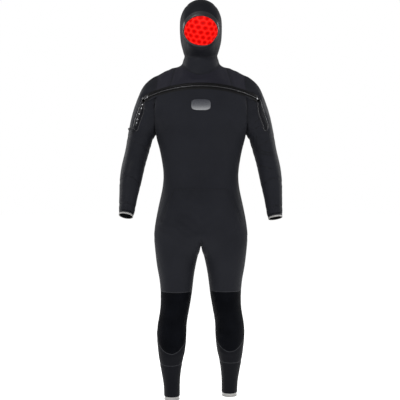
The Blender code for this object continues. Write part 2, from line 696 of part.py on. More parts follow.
def build_limb_panels(side_name, side):
    sleeve, leg = "sleeve_" + side_name, "leg_" + side_name
    elbow_top, elbow_low, cuff = ELBOW_TOP_RING + 1, ELBOW_BOTTOM_RING + 1, CUFF_RING + 1
    knee_top, knee_low, ankle = KNEE_TOP_RING + 2, KNEE_BOTTOM_RING + 2, ANKLE_RING + 2
    front_cols = (18, 19, 0, 1, 2, 3, 4, 5, 6, 7)

    def limb(name, slot, region, rows, cols=None, skip=None):
        panel(name + "_" + side_name, slot, lambda r, row, col: r == region and row in rows and
              (cols is None or col in cols) and not (skip and skip(row, col)))

    limb("upper_sleeve", "neoprene", sleeve, range(0, elbow_top),
         skip=lambda row, col: col == ZIP_ROW and row < elbow_top - 1)
    limb("elbow_panel", "neoprene", sleeve, range(elbow_top, elbow_low))
    limb("forearm_panel", "neoprene", sleeve, range(elbow_low, cuff))
    limb("wrist_cuff", "neoprene", sleeve, range(cuff, cuff + 1))
    panel("zip_garage_" + side_name, "smooth_rubber",
          lambda r, row, col: r == sleeve and col == ZIP_ROW and 1 <= row < elbow_top - 1, 0.003, 0.0015)
    back_cols = range(8, 18)
    limb("thigh_front", "neoprene", leg, range(0, knee_top), front_cols, lambda row, col: row < 2 and col > 15)
    limb("thigh_back", "neoprene", leg, range(0, knee_top), back_cols, lambda row, col: row < 2 and col > 15)
    limb("knee_pad", "knee_rubber", leg, range(knee_top, knee_low), front_cols)
    limb("knee_back", "neoprene", leg, range(knee_top, knee_low), back_cols)
    limb("shin_panel", "neoprene", leg, range(knee_low, ankle), front_cols)
    limb("calf_panel", "neoprene", leg, range(knee_low, ankle), back_cols)
    limb("ankle_cuff", "neoprene", leg, range(ankle, len(LEG) + 1))
    build_seal("wrist_seal_" + side_name, SLEEVE_RINGS[side], SLEEVE_SEAL_END)
    build_seal("ankle_seal_" + side_name, LEG_RINGS[side], LEG[-1][0] - LEG_SEAL_END)


def build_seal(name, rings, standing_out):
    """Grey inner seal: a thin tube inside the cuff that stands out of it, with a flat hem."""
    last = [BODY.verts[i] for i in rings[-1]]
    before = [BODY.verts[i] for i in rings[-2]]
    centre = sum((v.co for v in last), Vector()) / len(last)
    along = (last[3].co - last[0].co).cross(last[7].co - last[0].co).normalized()
    if along.z > 0:
        along = -along

    def section(points, sink, push):
        made = []
        for point in points:
            inward = centre - point
            inward -= along * inward.dot(along)
            made.append(point + inward.normalized() * sink + along * push)
        return made

    top = [lerp(b.co, v.co, 0.45) for b, v in zip(before, last)]
    rim = [v.co for v in last]
    hem = [v.co for v in last]
    wall = 0.0025
    start = NEOPRENE + 0.0008
    sections = [(section(top, start, 0), section(top, start + wall, 0)),
                (section(rim, start, 0), section(rim, start + wall, 0)),
                (section(hem, start - 0.002, standing_out), section(hem, start - 0.002 + wall, standing_out))]
    ring_tube(name, "seal", sections)


# ---------------------------------------------------------------- the zip
def build_zip():
    end = ZIP_HALF_ANGLE - math.radians(0.25)
    slider_at = -(end - (STOP_LENGTH + SLIDER_LENGTH / 2 + 0.001) / ZIP_RADIUS)

    def box(low_out, high_out, low_up, high_up):
        return [(low_out, low_up), (high_out, low_up), (high_out, high_up), (low_out, high_up)]

    arc_bar("zip_under_flap", "neoprene", -end, end,
            box(UNDER_FLAP_IN, UNDER_FLAP_OUT, -UNDER_FLAP_HALF, UNDER_FLAP_HALF), 28)
    arc_bar("zip_tape_upper", "smooth_rubber", -end, end, box(TAPE_IN, TAPE_OUT, TAPE_FROM, TAPE_TO), 28)
    arc_bar("zip_tape_lower", "smooth_rubber", -end, end, box(TAPE_IN, TAPE_OUT, -TAPE_TO, -TAPE_FROM), 28)
    arc_bar("zip_flap", "neoprene", -end, end, box(FLAP_IN, FLAP_OUT, FLAP_FROM, FLAP_TO), 28)
    chain_end = end - (STOP_LENGTH + 0.0005) / ZIP_RADIUS
    build_chain(-chain_end, chain_end)
    for name, sign in (("left", 1), ("right", -1)):
        inner = sign * (end - STOP_LENGTH / ZIP_RADIUS)
        first, last = min(inner, sign * end), max(inner, sign * end)
        arc_bar("zip_end_stop_" + name, "metal", first, last,
                box(-0.0008, 0.0022, -0.0045, 0.0045), 2)
    half = SLIDER_LENGTH / 2 / ZIP_RADIUS
    channel = [(SLIDER_LIP_IN, -SLIDER_HALF), (SLIDER_OUT, -SLIDER_HALF), (SLIDER_OUT, SLIDER_HALF),
               (SLIDER_LIP_IN, SLIDER_HALF), (SLIDER_LIP_IN, SLIDER_LIP), (SLIDER_ROOF_IN, SLIDER_LIP),
               (SLIDER_ROOF_IN, -SLIDER_LIP), (SLIDER_LIP_IN, -SLIDER_LIP)]
    arc_bar("zip_slider", "metal", slider_at - half, slider_at + half, channel, 4)
    build_pull_tab(slider_at)
    build_leash()


def build_chain(start, end):
    """The closed row of teeth as one crenellated bar along the zip's centre line."""
    teeth = round((end - start) * ZIP_RADIUS / CHAIN_PITCH)
    sections = []
    for tooth in range(teeth):
        for part, half in ((0.05, CHAIN_HALF * 0.55), (0.25, CHAIN_HALF), (0.75, CHAIN_HALF),
                           (0.95, CHAIN_HALF * 0.55)):
            angle = lerp(start, end, (tooth + part) / teeth)
            sections.append(arc_section(angle, [(CHAIN_IN, -half), (CHAIN_OUT, -half),
                                                (CHAIN_OUT, half), (CHAIN_IN, half)]))
    sweep("zip_chain", "smooth_rubber", sections)


def build_pull_tab(slider_at):
    """Tab hinged over the slider's middle; it lies away from the zip at rest."""
    start = zip_point(slider_at, TAB_IN)
    outward = (zip_point(slider_at, 1.0) - zip_point(slider_at, 0.0)).normalized()
    up = zip_frame()[2]
    along = -up.cross(outward).normalized()
    if along.x > 0:
        along = -along
    sections = []
    for distance, share in ((-0.001, 0.6), (0.0, 0.8), (0.006, 0.8), (0.012, 1.0), (TAB_LENGTH - 0.003, 1.0),
                            (TAB_LENGTH, 0.7)):
        half = TAB_WIDTH / 2 * share
        foot = start + along * distance
        rise = outward * (TAB_OUT - TAB_IN)
        sections.append([foot - up * half, foot + rise - up * half, foot + rise + up * half, foot + up * half])
    sweep("zip_pull_tab", "metal", sections)


def build_leash():
    """Textile leash of the zip pull, parked down the right sleeve's garage, and its toggle."""
    rings = SLEEVE_RINGS[-1]
    points, normals, across = [], [], []
    for ring in rings[1:ELBOW_TOP_RING + 1]:
        a, b = BODY.verts[ring[ZIP_ROW]], BODY.verts[ring[ZIP_ROW + 1]]
        points.append((a.co + b.co) / 2)
        normals.append((a.normal + b.normal).normalized())
        across.append((b.co - a.co).normalized())
    sections = []
    steps = 14
    for i in range(steps + 1):
        t = lerp(0.42, len(points) - 1.35, i / steps)
        where, normal = catmull(points, t), catmull(normals, t).normalized()
        side = catmull(across, t)
        side = (side - normal * side.dot(normal)).normalized() * (LEASH_WIDTH / 2)
        low, high = where + normal * LEASH_IN, where + normal * LEASH_OUT
        sections.append([low - side, high - side, high + side, low + side])
    sweep("zip_pull_leash", "smooth_rubber", sections)
    tip, before = catmull(points, len(points) - 1.32), catmull(points, len(points) - 1.6)
    along = (tip - before).normalized()
    normal = normals[-2]
    bm = bmesh.new()
    bmesh.ops.create_cone(bm, cap_ends=True, segments=16, radius1=TOGGLE_RADIUS * 0.75,
                          radius2=TOGGLE_RADIUS, depth=TOGGLE_LENGTH)
    outwards = (Vector((-1, 0, 0)) + along * TOGGLE_DROOP).normalized()
    turn = outwards.to_track_quat("Z", "Y").to_matrix().to_4x4()
    base = tip + along * (TOGGLE_RADIUS + 0.001) + normal * (TOGGLE_RADIUS + 0.003)
    place = base + outwards * TOGGLE_LENGTH / 2
    bmesh.ops.transform(bm, verts=bm.verts, matrix=Matrix.Translation(place) @ turn)
    add_bmesh("zip_pull_toggle", bm, "smooth_rubber")


# ---------------------------------------------------------------- trim
def rounded(value, power=0.6):
    """Cosine or sine pushed outwards, which turns an ellipse into a rounded rectangle."""
    return math.copysign(abs(value) ** power, value)


def build_badge():
    """Plain rounded plate on the chest, following the panel under it."""
    tree = BVHTree.FromBMesh(BODY)
    steps = 24
    bm = bmesh.new()
    layers = []
    for lift in (0.0009, 0.0009 + BADGE_THICKNESS):
        rings = []
        for share in (0.0, 0.35, 0.7, 1.0):
            ring = []
            for i in range(steps if share else 1):
                angle = 2 * math.pi * i / steps
                x = BADGE_WIDTH / 2 * share * rounded(math.cos(angle))
                z = BADGE_HEIGHT / 2 * share * rounded(math.sin(angle))
                hit, normal, _, _ = tree.ray_cast(Vector((x, -1, BADGE_CENTRE[1] + z)), Vector((0, 1, 0)))
                ring.append(bm.verts.new(hit - Vector((0, lift, 0))))
            rings.append(ring)
        layers.append(rings)
    for rings in layers:
        for inner, outer in zip(rings, rings[1:]):
            for i in range(steps):
                j = (i + 1) % steps
                if len(inner) == 1:
                    bm.faces.new([inner[0], outer[i], outer[j]])
                else:
                    bm.faces.new([inner[i], outer[i], outer[j], inner[j]])
    bottom, top = layers[0][-1], layers[1][-1]
    for i in range(steps):
        j = (i + 1) % steps
        bm.faces.new([bottom[i], bottom[j], top[j], top[i]])
    add_bmesh("chest_badge", bm, "badge")


def build_vent():
    """Small one-way air vent on the top of the hood."""
    top = HOOD_BACK[7]
    bm = bmesh.new()
    bmesh.ops.create_cone(bm, cap_ends=True, segments=20, radius1=0.010, radius2=0.008, depth=0.004)
    bmesh.ops.translate(bm, verts=bm.verts, vec=(0, top[0], top[1] + 0.0026))
    add_bmesh("hood_air_vent", bm, "seal")


clear_scene()
GROUP = make_collection("wetsuit")
SLEEVE_RINGS, LEG_RINGS = {}, {}
CAGE = build_cage()
BODY = outward_cage(CAGE)
build_hood_panels()
build_torso_panels()
for side_name, side in (("left", 1), ("right", -1)):
    build_limb_panels(side_name, side)
build_zip()
build_badge()
build_vent()
BODY.free()
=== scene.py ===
"""Looks of the hooded wetsuit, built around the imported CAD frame.

The CAD's neoprene panels are coarse shells. Here their outer sheets are joined into one skin,
smoothed, creased and cut back into panels of real thickness, with glued and stitched seams, a
honeycomb hood lining, grey seals, a toothed zip and worn-in folds. Metres, +Z up, front at -Y.
"""
import itertools
import json
import math

import bmesh
import bpy
import numpy as np
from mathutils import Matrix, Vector, noise
from mathutils.bvhtree import BVHTree
from mathutils.kdtree import KDTree


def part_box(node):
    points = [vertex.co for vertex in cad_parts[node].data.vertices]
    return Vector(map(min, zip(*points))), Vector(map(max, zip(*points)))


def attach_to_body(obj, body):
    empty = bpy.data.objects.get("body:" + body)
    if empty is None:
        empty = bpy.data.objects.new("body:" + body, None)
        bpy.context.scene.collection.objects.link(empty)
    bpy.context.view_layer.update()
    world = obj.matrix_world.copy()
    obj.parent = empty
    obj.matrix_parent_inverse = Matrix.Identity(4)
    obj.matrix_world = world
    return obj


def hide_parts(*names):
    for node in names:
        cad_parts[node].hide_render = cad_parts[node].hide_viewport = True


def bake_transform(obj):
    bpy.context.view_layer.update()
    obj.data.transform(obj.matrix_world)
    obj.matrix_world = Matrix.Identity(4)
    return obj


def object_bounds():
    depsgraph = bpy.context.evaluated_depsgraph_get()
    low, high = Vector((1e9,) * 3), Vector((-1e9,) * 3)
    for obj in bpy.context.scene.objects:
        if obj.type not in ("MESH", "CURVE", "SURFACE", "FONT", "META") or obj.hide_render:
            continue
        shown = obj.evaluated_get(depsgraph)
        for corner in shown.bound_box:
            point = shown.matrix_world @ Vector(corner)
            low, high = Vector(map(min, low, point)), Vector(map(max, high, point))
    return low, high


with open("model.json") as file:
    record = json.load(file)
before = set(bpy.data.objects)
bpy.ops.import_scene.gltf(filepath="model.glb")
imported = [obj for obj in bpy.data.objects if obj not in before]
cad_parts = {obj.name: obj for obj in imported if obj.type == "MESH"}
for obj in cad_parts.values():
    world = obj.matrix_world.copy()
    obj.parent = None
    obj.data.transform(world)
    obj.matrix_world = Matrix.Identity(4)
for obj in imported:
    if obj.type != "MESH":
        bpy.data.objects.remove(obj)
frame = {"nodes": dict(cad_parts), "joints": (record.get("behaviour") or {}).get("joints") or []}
CAD_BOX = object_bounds()
NODES = frame["nodes"]
JOINTS = {joint["name"]: joint for joint in frame["joints"]}
SIDES = ("left", "right")
SIGN = {"left": 1, "right": -1}

# the CAD's panels joined into one skin
SAME_POINT = 2e-5               # corners nearer than this are one corner
WELD = 0.0030                   # gap between two panels' edges that is closed first
FACE_SEAL_REACH = 0.0016        # how near a hood sheet the face seal's corners on it lie
SHEET_THICKNESS = 0.0095        # a ray through a panel is shorter, and one along it longer
SAME_SHEET = 0.35               # least dot product of neighbouring normals on one sheet
SMALLEST_SHEET = 0.08           # least area of a sheet, as a share of the largest
SKIN_LEVELS, FIT_ROUNDS, FIT_SHARE = 2, 4, 0.9
BODY_THICKNESS, HOOD_THICKNESS = 0.0062, 0.0042

# half lengths of the bending fabric at elbow and knee, and the neck's two heights
ELBOW_BEND, KNEE_BEND, NECK_BEND = 0.085, 0.082, (0.028, 0.078)

# wear: a valley at each seam with a swell beside it, folds, and the drawn-down face opening
SEAM_VALLEY, VALLEY_REACH = 0.0009, 0.006
SEAM_SWELL, SWELL_PLACE, SWELL_REACH = 0.0006, 0.016, 0.009
FOLD_GAIN = 1.35
FOLD_CALM, VALLEY_CALM = 0.028, 0.010       # distance from an open edge where each starts
FACE_PULL, FACE_PULL_REACH, FACE_PULL_FLOOR = 0.013, 0.13, 0.05

# seam tapes
SEAM_WIDTH, SEAM_RISE, TAPE_SINK, TAPE_STEP = 0.0056, 0.0005, 0.0003, 0.0045
STITCH_PITCH = 0.0026
HONEYCOMB_PITCH = 0.025

TORSO_PANELS = ["chest_panel", "abdomen_panel", "back_panel", "seat_panel", "yoke_front",
                "yoke_back", "crotch_gusset", "side_panel_left", "side_panel_right",
                "shoulder_panel_left", "shoulder_panel_right"]
HEAD_PANELS = ["neck_collar", "hood_crown_panel", "hood_side_panel_left",
               "hood_side_panel_right", "hood_chin_panel", "hood_face_seal"]
SLEEVE_PANELS = ["upper_sleeve", "elbow_panel", "forearm_panel", "wrist_cuff", "zip_garage"]
LEG_PANELS = ["thigh_front", "thigh_back", "knee_pad", "knee_back", "shin_panel", "calf_panel",
              "ankle_cuff"]
PANELS = TORSO_PANELS + HEAD_PANELS + [f"{name}_{side}" for limb in (SLEEVE_PANELS, LEG_PANELS)
                                       for side in SIDES for name in limb]
FACING = {"thigh_front": "thigh_back", "knee_pad": "knee_back", "shin_panel": "calf_panel"}
FACING.update({back: front for front, back in FACING.items()})


# ---------------------------------------------------------------- zones that bend
def zone_of(name):
    """Which bending zone a piece belongs to, from its name."""
    stem, _, side = name.rpartition("_")
    if stem in SLEEVE_PANELS or stem == "wrist_seal":
        return "sleeve_" + side
    if stem in LEG_PANELS or stem == "ankle_seal":
        return "leg_" + side
    if name in HEAD_PANELS or name in ("hood_liner", "hood_air_vent"):
        return "head"
    return "torso"


def arm_axis(side):
    """Direction of a sleeve, from elbow to wrist."""
    return Vector((0.2209 * SIGN[side], 0, -0.9753))


def pivot_of(joint):
    return Vector(JOINTS[joint]["pos_m"])


def zone_ends(zone):
    """Moving body of a zone, and the points between which its fabric bends."""
    if zone == "head":
        return "hood", *(Vector((0, pivot_of("hood_tilt").y, height)) for height in NECK_BEND)
    limb, side = zone.split("_")
    if limb == "sleeve":
        pivot, reach = pivot_of("elbow_" + side), arm_axis(side) * ELBOW_BEND
        return "forearm_" + side, pivot - reach, pivot + reach
    pivot, reach = pivot_of("knee_" + side), Vector((0, 0, KNEE_BEND))
    return "shin_" + side, pivot + reach, pivot - reach


def attach(piece, zone):
    """Rides a piece on its body, or leaves one that spans the zone's joint in place, unparented."""
    if zone == "torso":
        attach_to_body(piece, "torso")
        return
    body, start, end = zone_ends(zone)
    along = end - start
    shares = [(v.co - start).dot(along) / along.length_squared for v in piece.data.vertices]
    if max(shares) <= 0:
        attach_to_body(piece, "torso")
    elif min(shares) >= 1:
        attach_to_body(piece, body)
    else:
        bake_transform(piece)


# ---------------------------------------------------------------- mesh helpers
def new_object(name, data, material=None):
    """Links a new object, and makes a given material its first; a bmesh is used up."""
    if isinstance(data, bmesh.types.BMesh):
        bm, data = data, bpy.data.meshes.new(name)
        bm.to_mesh(data)
        bm.free()
    obj = bpy.data.objects.new(name, data)
    bpy.context.scene.collection.objects.link(obj)
    if material and data.materials:
        data.materials[0] = material
    elif material:
        data.materials.append(material)
    return obj


def evaluated_mesh(obj):
    graph = bpy.context.evaluated_depsgraph_get()
    return bpy.data.meshes.new_from_object(obj.evaluated_get(graph))


def bake_modifiers(obj):
    mesh = evaluated_mesh(obj)
    obj.modifiers.clear()
    obj.data = mesh
    return obj


def smooth(t):
    """Eases from 0 to 1 as t goes from 0 to 1."""
    t = min(max(t, 0.0), 1.0)
    return t * t * (3 - 2 * t)


def tree_of(points):
    tree = KDTree(len(points))
    for i, point in enumerate(points):
        tree.insert(point, i)
    tree.balance()
    return tree


def hub_of(name):
    """A point inside the limb that a panel wraps, to tell its outside from its inside."""
    if name in TORSO_PANELS:
        low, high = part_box("chest_panel")
        return Vector((0, 0, (low.z + high.z) / 2))
    stem, _, side = name.rpartition("_")
    group = [name]
    if stem in FACING:
        group.append(f"{FACING[stem]}_{side}")
    elif stem == "zip_garage":
        group = ["upper_sleeve_" + side]
    elif name.startswith("hood_"):
        group = ["hood_crown_panel", "hood_chin_panel"]
    lows, highs = zip(*(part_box(node) for node in group))
    low, high = (Vector([pick(corner[i] for corner in corners) for i in range(3)])
                 for pick, corners in ((min, lows), (max, highs)))
    return (low + high) / 2


def welded(node):
    bm = bmesh.new()
    bm.from_mesh(NODES[node].data)
    bmesh.ops.remove_doubles(bm, verts=bm.verts, dist=SAME_POINT)
    bmesh.ops.recalc_face_normals(bm, faces=bm.faces)
    bm.normal_update()
    return bm


def sheet_groups(bm):
    """Connected faces of a panel's two sheets, split at sharp folds, without its cut edges."""
    tree = BVHTree.FromBMesh(bm)
    flat = {}
    for face in bm.faces:
        centre = face.calc_center_median()
        hit, normal, _, distance = tree.ray_cast(centre - face.normal * 1e-5, -face.normal)
        if hit and distance < SHEET_THICKNESS and normal.dot(face.normal) < -SAME_SHEET:
            flat[face] = True
    groups = []
    while flat:
        stack, group = [flat.popitem()[0]], []
        while stack:
            face = stack.pop()
            group.append(face)
            for edge in face.edges:
                for other in edge.link_faces:
                    if other in flat and other.normal.dot(face.normal) > SAME_SHEET:
                        del flat[other]
                        stack.append(other)
        groups.append(group)
    areas = [sum(face.calc_area() for face in group) for group in groups]
    least = SMALLEST_SHEET * max(areas)
    return [group for group, area in zip(groups, areas) if area > least]


def panel_sheets(node):
    """Triangles of a panel's outer sheet and of its inner sheet, as corner points."""
    bm, hub = welded(node), hub_of(node)

    def outwardness(group):
        if node == "crotch_gusset":
            return -sum(f.normal.z * f.calc_area() for f in group)
        return sum(f.normal.dot(f.calc_center_median() - hub) * f.calc_area() for f in group)

    votes = dict.fromkeys(bm.verts, 0.0)
    for group in sheet_groups(bm):
        way = 1 if outwardness(group) > 0 else -1
        for face in group:
            for vertex in face.verts:
                votes[vertex] += way * face.calc_area()
    sheets = [[[v.co.copy() for v in face.verts] for face in bm.faces
               if all(votes[v] * way > 0 for v in face.verts)] for way in (1, -1)]
    bm.free()
    return sheets


def face_seal_sheet(hood_outer, hood_inner):
    """Triangles of the face seal that continue the hood's outer sheet."""
    outer_tree, inner_tree = (tree_of([corner for triangle in sheet for corner in triangle])
                              for sheet in (hood_outer, hood_inner))

    def touches(face, tree):
        return any(tree.find(v.co)[2] < FACE_SEAL_REACH for v in face.verts)

    bm = welded("hood_face_seal")
    triangles = [[v.co.copy() for v in face.verts] for face in bm.faces
                 if touches(face, outer_tree) and not touches(face, inner_tree)]
    bm.free()
    return triangles


# ---------------------------------------------------------------- the one skin
def open_edges(bm):
    return [edge for edge in bm.edges if len(edge.link_faces) == 1]


def build_skin():
    """All outer sheets welded into one mesh whose material index is the panel's number."""
    bm = bmesh.new()
    hood_outer, hood_inner = [], []
    for number, name in enumerate(PANELS):
        if name == "hood_face_seal":
            triangles = face_seal_sheet(hood_outer, hood_inner)
        else:
            triangles, inner = panel_sheets(name)
            if name.startswith("hood_"):
                hood_outer += triangles
                hood_inner += inner
        part = bmesh.new()
        for triangle in triangles:
            face = part.faces.new([part.verts.new(p) for p in triangle])
            face.material_index = number
        bmesh.ops.remove_doubles(part, verts=part.verts, dist=SAME_POINT)
        bmesh.ops.join_triangles(part, faces=part.faces, angle_face_threshold=math.pi,
                                 angle_shape_threshold=math.pi)
        scratch = bpy.data.meshes.new("scratch")
        part.to_mesh(scratch)
        part.free()
        bm.from_mesh(scratch)
        bpy.data.meshes.remove(scratch)
    for distance in (WELD, 1.8 * WELD):
        rims = dict.fromkeys(vertex for edge in open_edges(bm) for vertex in edge.verts)
        bmesh.ops.remove_doubles(bm, verts=list(rims), dist=distance)   # always in the same order
    bmesh.ops.holes_fill(bm, edges=open_edges(bm), sides=8)
    bmesh.ops.recalc_face_normals(bm, faces=bm.faces)
    for face in bm.faces:
        face.smooth = True
    mesh = bpy.data.meshes.new("skin")
    bm.to_mesh(mesh)
    bm.free()
    for name in PANELS:
        mesh.materials.append(bpy.data.materials.new("panel_" + name))
    return new_object("skin_cage", mesh)


def corners_of(mesh):
    flat = np.empty(len(mesh.vertices) * 3)
    mesh.vertices.foreach_get("co", flat)
    return flat


def smooth_skin(cage):
    """Subdivides the skin so that the smooth surface still passes through the CAD's points."""
    modifier = cage.modifiers.new("smooth", "SUBSURF")
    modifier.levels = modifier.render_levels = SKIN_LEVELS
    modifier.boundary_smooth = "PRESERVE_CORNERS"
    wanted = corners_of(cage.data)
    current = wanted.copy()
    for _ in range(FIT_ROUNDS):
        mesh = evaluated_mesh(cage)
        current += FIT_SHARE * (wanted - corners_of(mesh)[:len(wanted)])
        bpy.data.meshes.remove(mesh)
        cage.data.vertices.foreach_set("co", current)
        cage.data.update()
    return bake_modifiers(cage)


SKIN = smooth_skin(build_skin())


# ---------------------------------------------------------------- folds and seam valleys
def fold_zones():
    """Where worn-in folds lie: centre, axis they repeat along, reach, wavelength and depth."""
    zones = []
    for side in SIDES:
        elbow, knee, arm = pivot_of("elbow_" + side), pivot_of("knee_" + side), arm_axis(side)

        def at(x, y, z):
            return Vector((x * SIGN[side], y, z))

        zones += [
            (at(0.155, -0.09, -0.215), at(0.75, 0, 0.66), 0.075, 0.034, 0.0022),
            (at(0.150, 0.09, -0.215), at(0.75, 0, 0.66), 0.085, 0.036, 0.0024),
            (at(0.225, 0.00, -0.225), arm, 0.060, 0.030, 0.0016),
            (elbow + at(-0.02, -0.05, 0), arm, 0.060, 0.027, 0.0019),
            (elbow + arm * 0.16 + at(0, -0.03, 0), arm, 0.050, 0.024, 0.0010),
            (knee + at(0, 0.06, 0.01), Vector((0.15, 0, 1)).normalized(), 0.075, 0.030, 0.0028),
            (knee + at(0, -0.06, -0.20), at(0.25, 0, 1).normalized(), 0.070, 0.040, 0.0012),
            (at(0.075, -0.08, -0.665), at(0.62, 0, -0.78), 0.085, 0.036, 0.0022),
            (at(0.080, 0.09, -0.700), at(0.10, 0, 1), 0.070, 0.034, 0.0026),
            (knee + at(0, 0, -0.330), at(0.12, 0, 1).normalized(), 0.045, 0.026, 0.0012)]
    return zones + [
        (Vector((0, -0.11, -0.455)), Vector((0.1, 0, 1)), 0.110, 0.046, 0.0013),
        (Vector((0, 0.11, -0.470)), Vector((-0.1, 0, 1)), 0.120, 0.042, 0.0018),
        (Vector((0, -0.05, 0.030)), Vector((0.05, 0, 1)), 0.050, 0.024, 0.0010)]


def fold_depth(point, zones):
    """How far the worn fabric stands in or out here."""
    drift = noise.noise(point * 9.0) + 0.5 * noise.noise(point * 21.0)
    depth = 0.0012 * noise.noise(point * 6.0 + Vector((4, 0, 9)))
    for centre, axis, reach, wave, amount in zones:
        offset = point - centre
        nearness = math.exp(-(offset.length / reach) ** 2)
        if nearness < 0.02:
            continue
        ridge = 1 - abs(math.sin(math.pi * (offset.dot(axis) / wave + 0.55 * drift))) ** 0.7
        patchy = 0.65 + 0.5 * noise.noise(point * 14.0)
        depth -= FOLD_GAIN * amount * nearness * (2 * ridge - 0.7) * patchy
    return depth


def is_flush(first, second):
    """Whether two panels meet without a visible seam: the same one, or two glued at the hips."""
    joined = first + " " + second
    return first == second or ("thigh" in joined and ("abdomen" in joined or "seat" in joined))


def seam_vertices(bm):
    """Vertices on a line between two panels, and those on the skin's open edges."""
    seams, rims = {}, {}
    for edge in bm.edges:
        faces = edge.link_faces
        if len(faces) == 1:
            rims.update(dict.fromkeys(edge.verts))
        elif len(faces) == 2 and not is_flush(*(PANELS[face.material_index] for face in faces)):
            seams.update(dict.fromkeys(edge.verts))
    return list(seams), list(rims)


def lower_face_opening(bm):
    """Draws the face opening down a little, as a hood filled by a head wears it."""
    low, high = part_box("hood_face_seal")
    centre = (low + high) / 2
    for vertex in bm.verts:
        offset = vertex.co - centre
        if vertex.co.z > FACE_PULL_FLOOR:
            offset.y *= 0.7
            share = (FACE_PULL_REACH - offset.length) / (FACE_PULL_REACH / 2)
            vertex.co.z -= FACE_PULL * smooth(share)


def wear_skin():
    """Presses the seams in and adds folds, leaving the open edges where they are."""
    bm = bmesh.new()
    bm.from_mesh(SKIN.data)
    lower_face_opening(bm)
    bm.normal_update()
    seam_tree, rim_tree = (tree_of([v.co.copy() for v in line]) for line in seam_vertices(bm))
    zones = fold_zones()
    moves = []
    for vertex in bm.verts:
        rim, seam = (tree.find(vertex.co)[2] for tree in (rim_tree, seam_tree))
        valley = SEAM_VALLEY * math.exp(-(seam / VALLEY_REACH) ** 2)
        swell = SEAM_SWELL * math.exp(-((seam - SWELL_PLACE) / SWELL_REACH) ** 2)
        depth = (fold_depth(vertex.co, zones) * smooth(rim / FOLD_CALM)
                 + (swell - valley) * smooth(rim / VALLEY_CALM))
        moves.append(vertex.normal * depth)
    for vertex, move in zip(bm.verts, moves):
        vertex.co += move
    bm.normal_update()
    bm.to_mesh(SKIN.data)
    bm.free()


wear_skin()
SURFACE = bmesh.new()
SURFACE.from_mesh(SKIN.data)
SURFACE.normal_update()
SURFACE.faces.ensure_lookup_table()
SURFACE_TREE = BVHTree.FromBMesh(SURFACE)


def on_surface(point):
    """The nearest point of the skin, and the skin's smoothed normal there."""
    place, _, index, _ = SURFACE_TREE.find_nearest(point)
    face = SURFACE.faces[index]
    normal = Vector()
    for vertex in face.verts:
        normal += vertex.normal / max((vertex.co - place).length, 1e-4)
    return place, normal.normalized()


# ---------------------------------------------------------------- materials
class Nodes:
    """A short way to wire a procedural material."""

    def __init__(self, name, **values):
        self.material = bpy.data.materials.new(name)
        self.material.use_nodes = True
        self.tree = self.material.node_tree
        self.shader = self.tree.nodes["Principled BSDF"]
        for socket, value in values.items():
            self.shader.inputs[socket.replace("_", " ")].default_value = value

    def add(self, kind, links=(), **values):
        node = self.tree.nodes.new("ShaderNode" + kind)
        for key, value in values.items():
            setattr(node, key, value)
        for socket, source in dict(links).items():
            if isinstance(source, (int, float, tuple)):
                node.inputs[socket].default_value = source
            else:
                self.tree.links.new(source, node.inputs[socket])
        return node

    def math(self, operation, a, b=0.0, c=0.0):
        return self.add("Math", {0: a, 1: b, 2: c}, operation=operation).outputs[0]

    def vector(self, operation, a, b=(0, 0, 0), c=(0, 0, 0)):
        node = self.add("VectorMath", {0: a, 1: b, 2: c}, operation=operation)
        return node.outputs["Value" if operation == "LENGTH" else "Vector"]

    def coordinates(self, kind="UV"):
        return self.add("TexCoord").outputs[kind]

    def noise(self, where, scale, detail=3.0):
        return self.add("TexNoise", {"Vector": where, "Scale": scale, "Detail": detail,
                                     "Roughness": 0.55}).outputs["Fac"]

    def wave(self, where, scale, way, **more):
        sockets = {"Vector": where, "Scale": scale, **more}
        return self.add("TexWave", sockets, bands_direction=way).outputs["Fac"]

    def ramp(self, factor, *stops):
        node = self.add("ValToRGB", {"Fac": factor})
        points = node.color_ramp.elements
        while len(points) < len(stops):
            points.new(0.5)
        for point, (place, colour) in zip(points, stops):
            point.position = place
            point.color = (*colour, 1) if isinstance(colour, tuple) else (colour, colour, colour, 1)
        return node.outputs["Color"]

    def set(self, socket, source):
        self.tree.links.new(source, self.shader.inputs[socket])

    def bump(self, height, distance, strength=1.0, below=None):
        node = self.add("Bump", {"Height": height, "Distance": distance, "Strength": strength})
        if below:
            self.tree.links.new(below, node.inputs["Normal"])
        self.set("Normal", node.outputs["Normal"])
        return node.outputs["Normal"]


def scaled(colour, factor):
    return tuple(channel * factor for channel in colour)


def neoprene(name, colour, sheen=0.02, grain=1.0):
    """Jersey-lined neoprene: fine knit columns, a soft cloudy tone and a faint nap."""
    m = Nodes(name, Specular_IOR_Level=0.05, Sheen_Weight=sheen, Sheen_Roughness=0.45)
    uv, place = m.coordinates(), m.coordinates("Object")
    cloud = m.noise(place, 7.0, 4.0)
    speck = m.noise(place, 900.0, 2.0)
    tone = m.math("MULTIPLY_ADD", speck, 0.25, m.math("MULTIPLY", cloud, 0.75))
    m.set("Base Color", m.ramp(tone, (0.25, scaled(colour, 0.80)), (0.75, scaled(colour, 1.22))))
    m.set("Roughness", m.ramp(cloud, (0.3, 0.45), (0.7, 0.57)))
    columns = m.wave(uv, 420.0 / grain, "X", Distortion=1.2, Detail=1.0)
    rows = m.wave(uv, 300.0 / grain, "Y", Distortion=1.6, Detail=1.0)
    knit = m.bump(m.math("MULTIPLY", columns, rows), 0.00012 * grain, 0.7)
    m.bump(m.noise(place, 38.0, 4.0), 0.0006, 0.35, knit)
    return m.material


